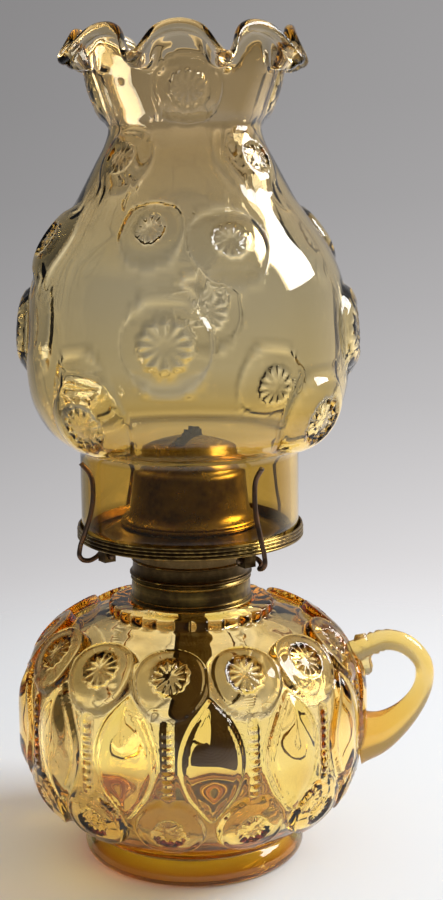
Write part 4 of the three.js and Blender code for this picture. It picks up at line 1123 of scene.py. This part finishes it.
@material_maker
def pale_table(tree, shader):
    """A pale table that greys with distance from the lamp, a painted falloff of light, and melts into
    the room's backdrop.

    Seen in glass or brass it is a little paler than to the camera."""
    x, y, _ = split(tree, add_node(tree, "TexCoord").outputs["Object"])
    flat = add_node(tree, "CombineXYZ", {0: x, 1: y})
    away = add_node(tree, "VectorMath", {0: flat.outputs[0]}, operation="LENGTH").outputs["Value"]
    # Painted light falloff: the table grows greyer away from the lamp.
    grey = colour_ramp(tree, ranged(tree, away, 0.0, 1.0, 0.0, 0.5), [
        (0.0, 0.83), (0.2, 0.82), (0.4, 0.785), (1.0, 0.70)], (0.967, 0.983, 1.0))
    seen = add_node(tree, "LightPath").outputs["Is Camera Ray"]
    feed(tree, shader, {
        "Roughness": 0.9, "Specular IOR Level": 0.1,
        "Base Color": mixed(tree, seen, (0.97, 0.97, 0.97), grey)})
    fade = add_node(tree, "MapRange", {
        "Value": away, "From Min": 0.14, "From Max": 0.42}, interpolation_type="SMOOTHSTEP").outputs[0]
    clear = add_node(tree, "BsdfTransparent")
    feed(tree, tree.nodes["Material Output"], {"Surface": mixed_shader(tree, fade, shader, clear)})


def room_world(level):
    """Even light for matt things. What is seen directly, in glass and in brass is a backdrop that
    brightens downwards and to the right, and a dim room on the camera's side."""
    world = bpy.data.worlds.new("Soft Room")
    world.use_nodes = True
    tree = world.node_tree
    tree.nodes.clear()
    x, y, z = split(tree, add_node(tree, "TexCoord").outputs["Generated"])
    falloff = colour_ramp(tree, ranged(tree, z, 1.0, 0.0, -0.4, 0.1), [
        (0.0, 0.287), (0.126, 0.302), (0.25, 0.331), (0.376, 0.384), (0.504, 0.456), (0.568, 0.51),
        (0.63, 0.565), (0.693, 0.628), (0.754, 0.701), (0.816, 0.761), (0.876, 0.806), (1.0, 0.86)],
        (1, 0.975, 0.985))
    side = math_node(tree, "MULTIPLY_ADD", x, 0.9, 1.0)
    backdrop = add_node(tree, "VectorMath", {0: falloff, 1: side}, operation="MULTIPLY").outputs[0]
    dim = mixed(tree, ranged(tree, z, 0.0, 1.0, -0.6, 0.2), (0.2, 0.19, 0.185), (0.035, 0.032, 0.03))
    shown = mixed(tree, ranged(tree, y, 0.0, 1.0, 0.0, 0.6), dim, backdrop)
    rays = add_node(tree, "LightPath").outputs
    sharp = math_node(tree, "MAXIMUM", rays["Is Glossy Ray"], rays["Is Transmission Ray"])
    seen = math_node(tree, "MAXIMUM", rays["Is Camera Ray"], sharp)
    room = add_node(tree, "Background", {"Color": (0.95, 0.96, 1.0, 1), "Strength": level})
    wall = add_node(tree, "Background", {"Color": shown, "Strength": 1.0})
    add_node(tree, "OutputWorld", {0: mixed_shader(tree, seen, room, wall)})
    return world


class LAMP_OT_stage(bpy.types.Operator):
    """Makes the table, the lights, the room and the camera"""

    bl_idname = "lamp.make_stage"
    bl_label = "Stage"

    def execute(self, context):
        scene = context.scene
        deselect()
        bpy.ops.mesh.primitive_circle_add(vertices=128, radius=0.6, fill_type="NGON", location=AXIS)
        table = context.object
        table.name = "pale_table"
        dress(table, pale_table("Pale Table"))
        settle(table)

        azimuth, elevation, distance = radians(96), radians(34), 1.2
        level, rise = cos(elevation), sin(elevation)
        toward = Vector((sin(azimuth) * level, -cos(azimuth) * level, rise))
        bpy.ops.object.light_add(type="AREA", location=AXIS + Vector((0, 0, 0.14)) + distance * toward)
        light = context.object
        light.name = "window_light"
        light.data.shape = "RECTANGLE"
        light.data.size, light.data.size_y = 0.66, 0.6
        light.data.energy = scene.lamp_stage.key_power
        light.data.color = (1.0, 0.995, 0.985)
        light.rotation_euler = toward.to_track_quat("Z", "Y").to_euler()
        scene.world = room_world(scene.lamp_stage.room_level)

        bpy.ops.object.camera_add(location=AXIS + Vector(CAMERA_PLACE))
        camera = context.object
        camera.name = "photograph_view"
        pitch = Matrix.Rotation(radians(90 - CAMERA_PITCH), 4, "X")
        roll = Matrix.Rotation(radians(-CAMERA_ROLL), 4, "Z")
        camera.matrix_world = Matrix.Translation(camera.location) @ pitch @ roll
        camera.data.sensor_fit = "VERTICAL"
        camera.data.sensor_height = SENSOR
        camera.data.lens = FOCAL_LENGTH / IMAGE_HEIGHT * SENSOR
        camera.data.shift_x = (IMAGE_WIDTH / 2 - AXIS_COLUMN) / IMAGE_HEIGHT
        camera.data.clip_start = 0.01
        scene.camera = camera
        scene.view_settings.view_transform = "Standard"
        return {"FINISHED"}


# Panel and registration

STEPS = [
    LAMP_OT_stage, LAMP_OT_font, LAMP_OT_handle, LAMP_OT_collar, LAMP_OT_cup, LAMP_OT_gallery,
    LAMP_OT_cone, LAMP_OT_wick, LAMP_OT_thumb_wheel, LAMP_OT_prongs, LAMP_OT_fittings, LAMP_OT_chimney]

SETTINGS = {
    "lamp_glass": LampGlassSettings,
    "lamp_metal": LampMetalSettings,
    "lamp_pattern": LampPatternSettings,
    "lamp_stage": LampStageSettings,
}


class LAMP_PT_pieces(bpy.types.Panel):
    """Lists the lamp's pieces and their settings"""

    bl_label = "Glass Finger Lamp"
    bl_idname = "LAMP_PT_pieces"
    bl_space_type = "VIEW_3D"
    bl_region_type = "UI"
    bl_category = "Lamp"

    def draw(self, context):
        for name, group in SETTINGS.items():
            box = self.layout.box()
            for setting in group.__annotations__:
                box.prop(getattr(context.scene, name), setting)
        for step in STEPS:
            self.layout.operator(step.bl_idname)


CLASSES = [*SETTINGS.values(), *STEPS, LAMP_PT_pieces]


def register():
    for made in CLASSES:
        bpy.utils.register_class(made)
    for name, group in SETTINGS.items():
        setattr(bpy.types.Scene, name, PointerProperty(type=group))


def unregister():
    for name in SETTINGS:
        delattr(bpy.types.Scene, name)
    for made in reversed(CLASSES):
        bpy.utils.unregister_class(made)


def main():
    register()
    for step in STEPS:
        getattr(bpy.ops.lamp, step.bl_idname.split(".")[1])()
    bpy.context.view_layer.update()


if __name__ == "__main__":
    main()
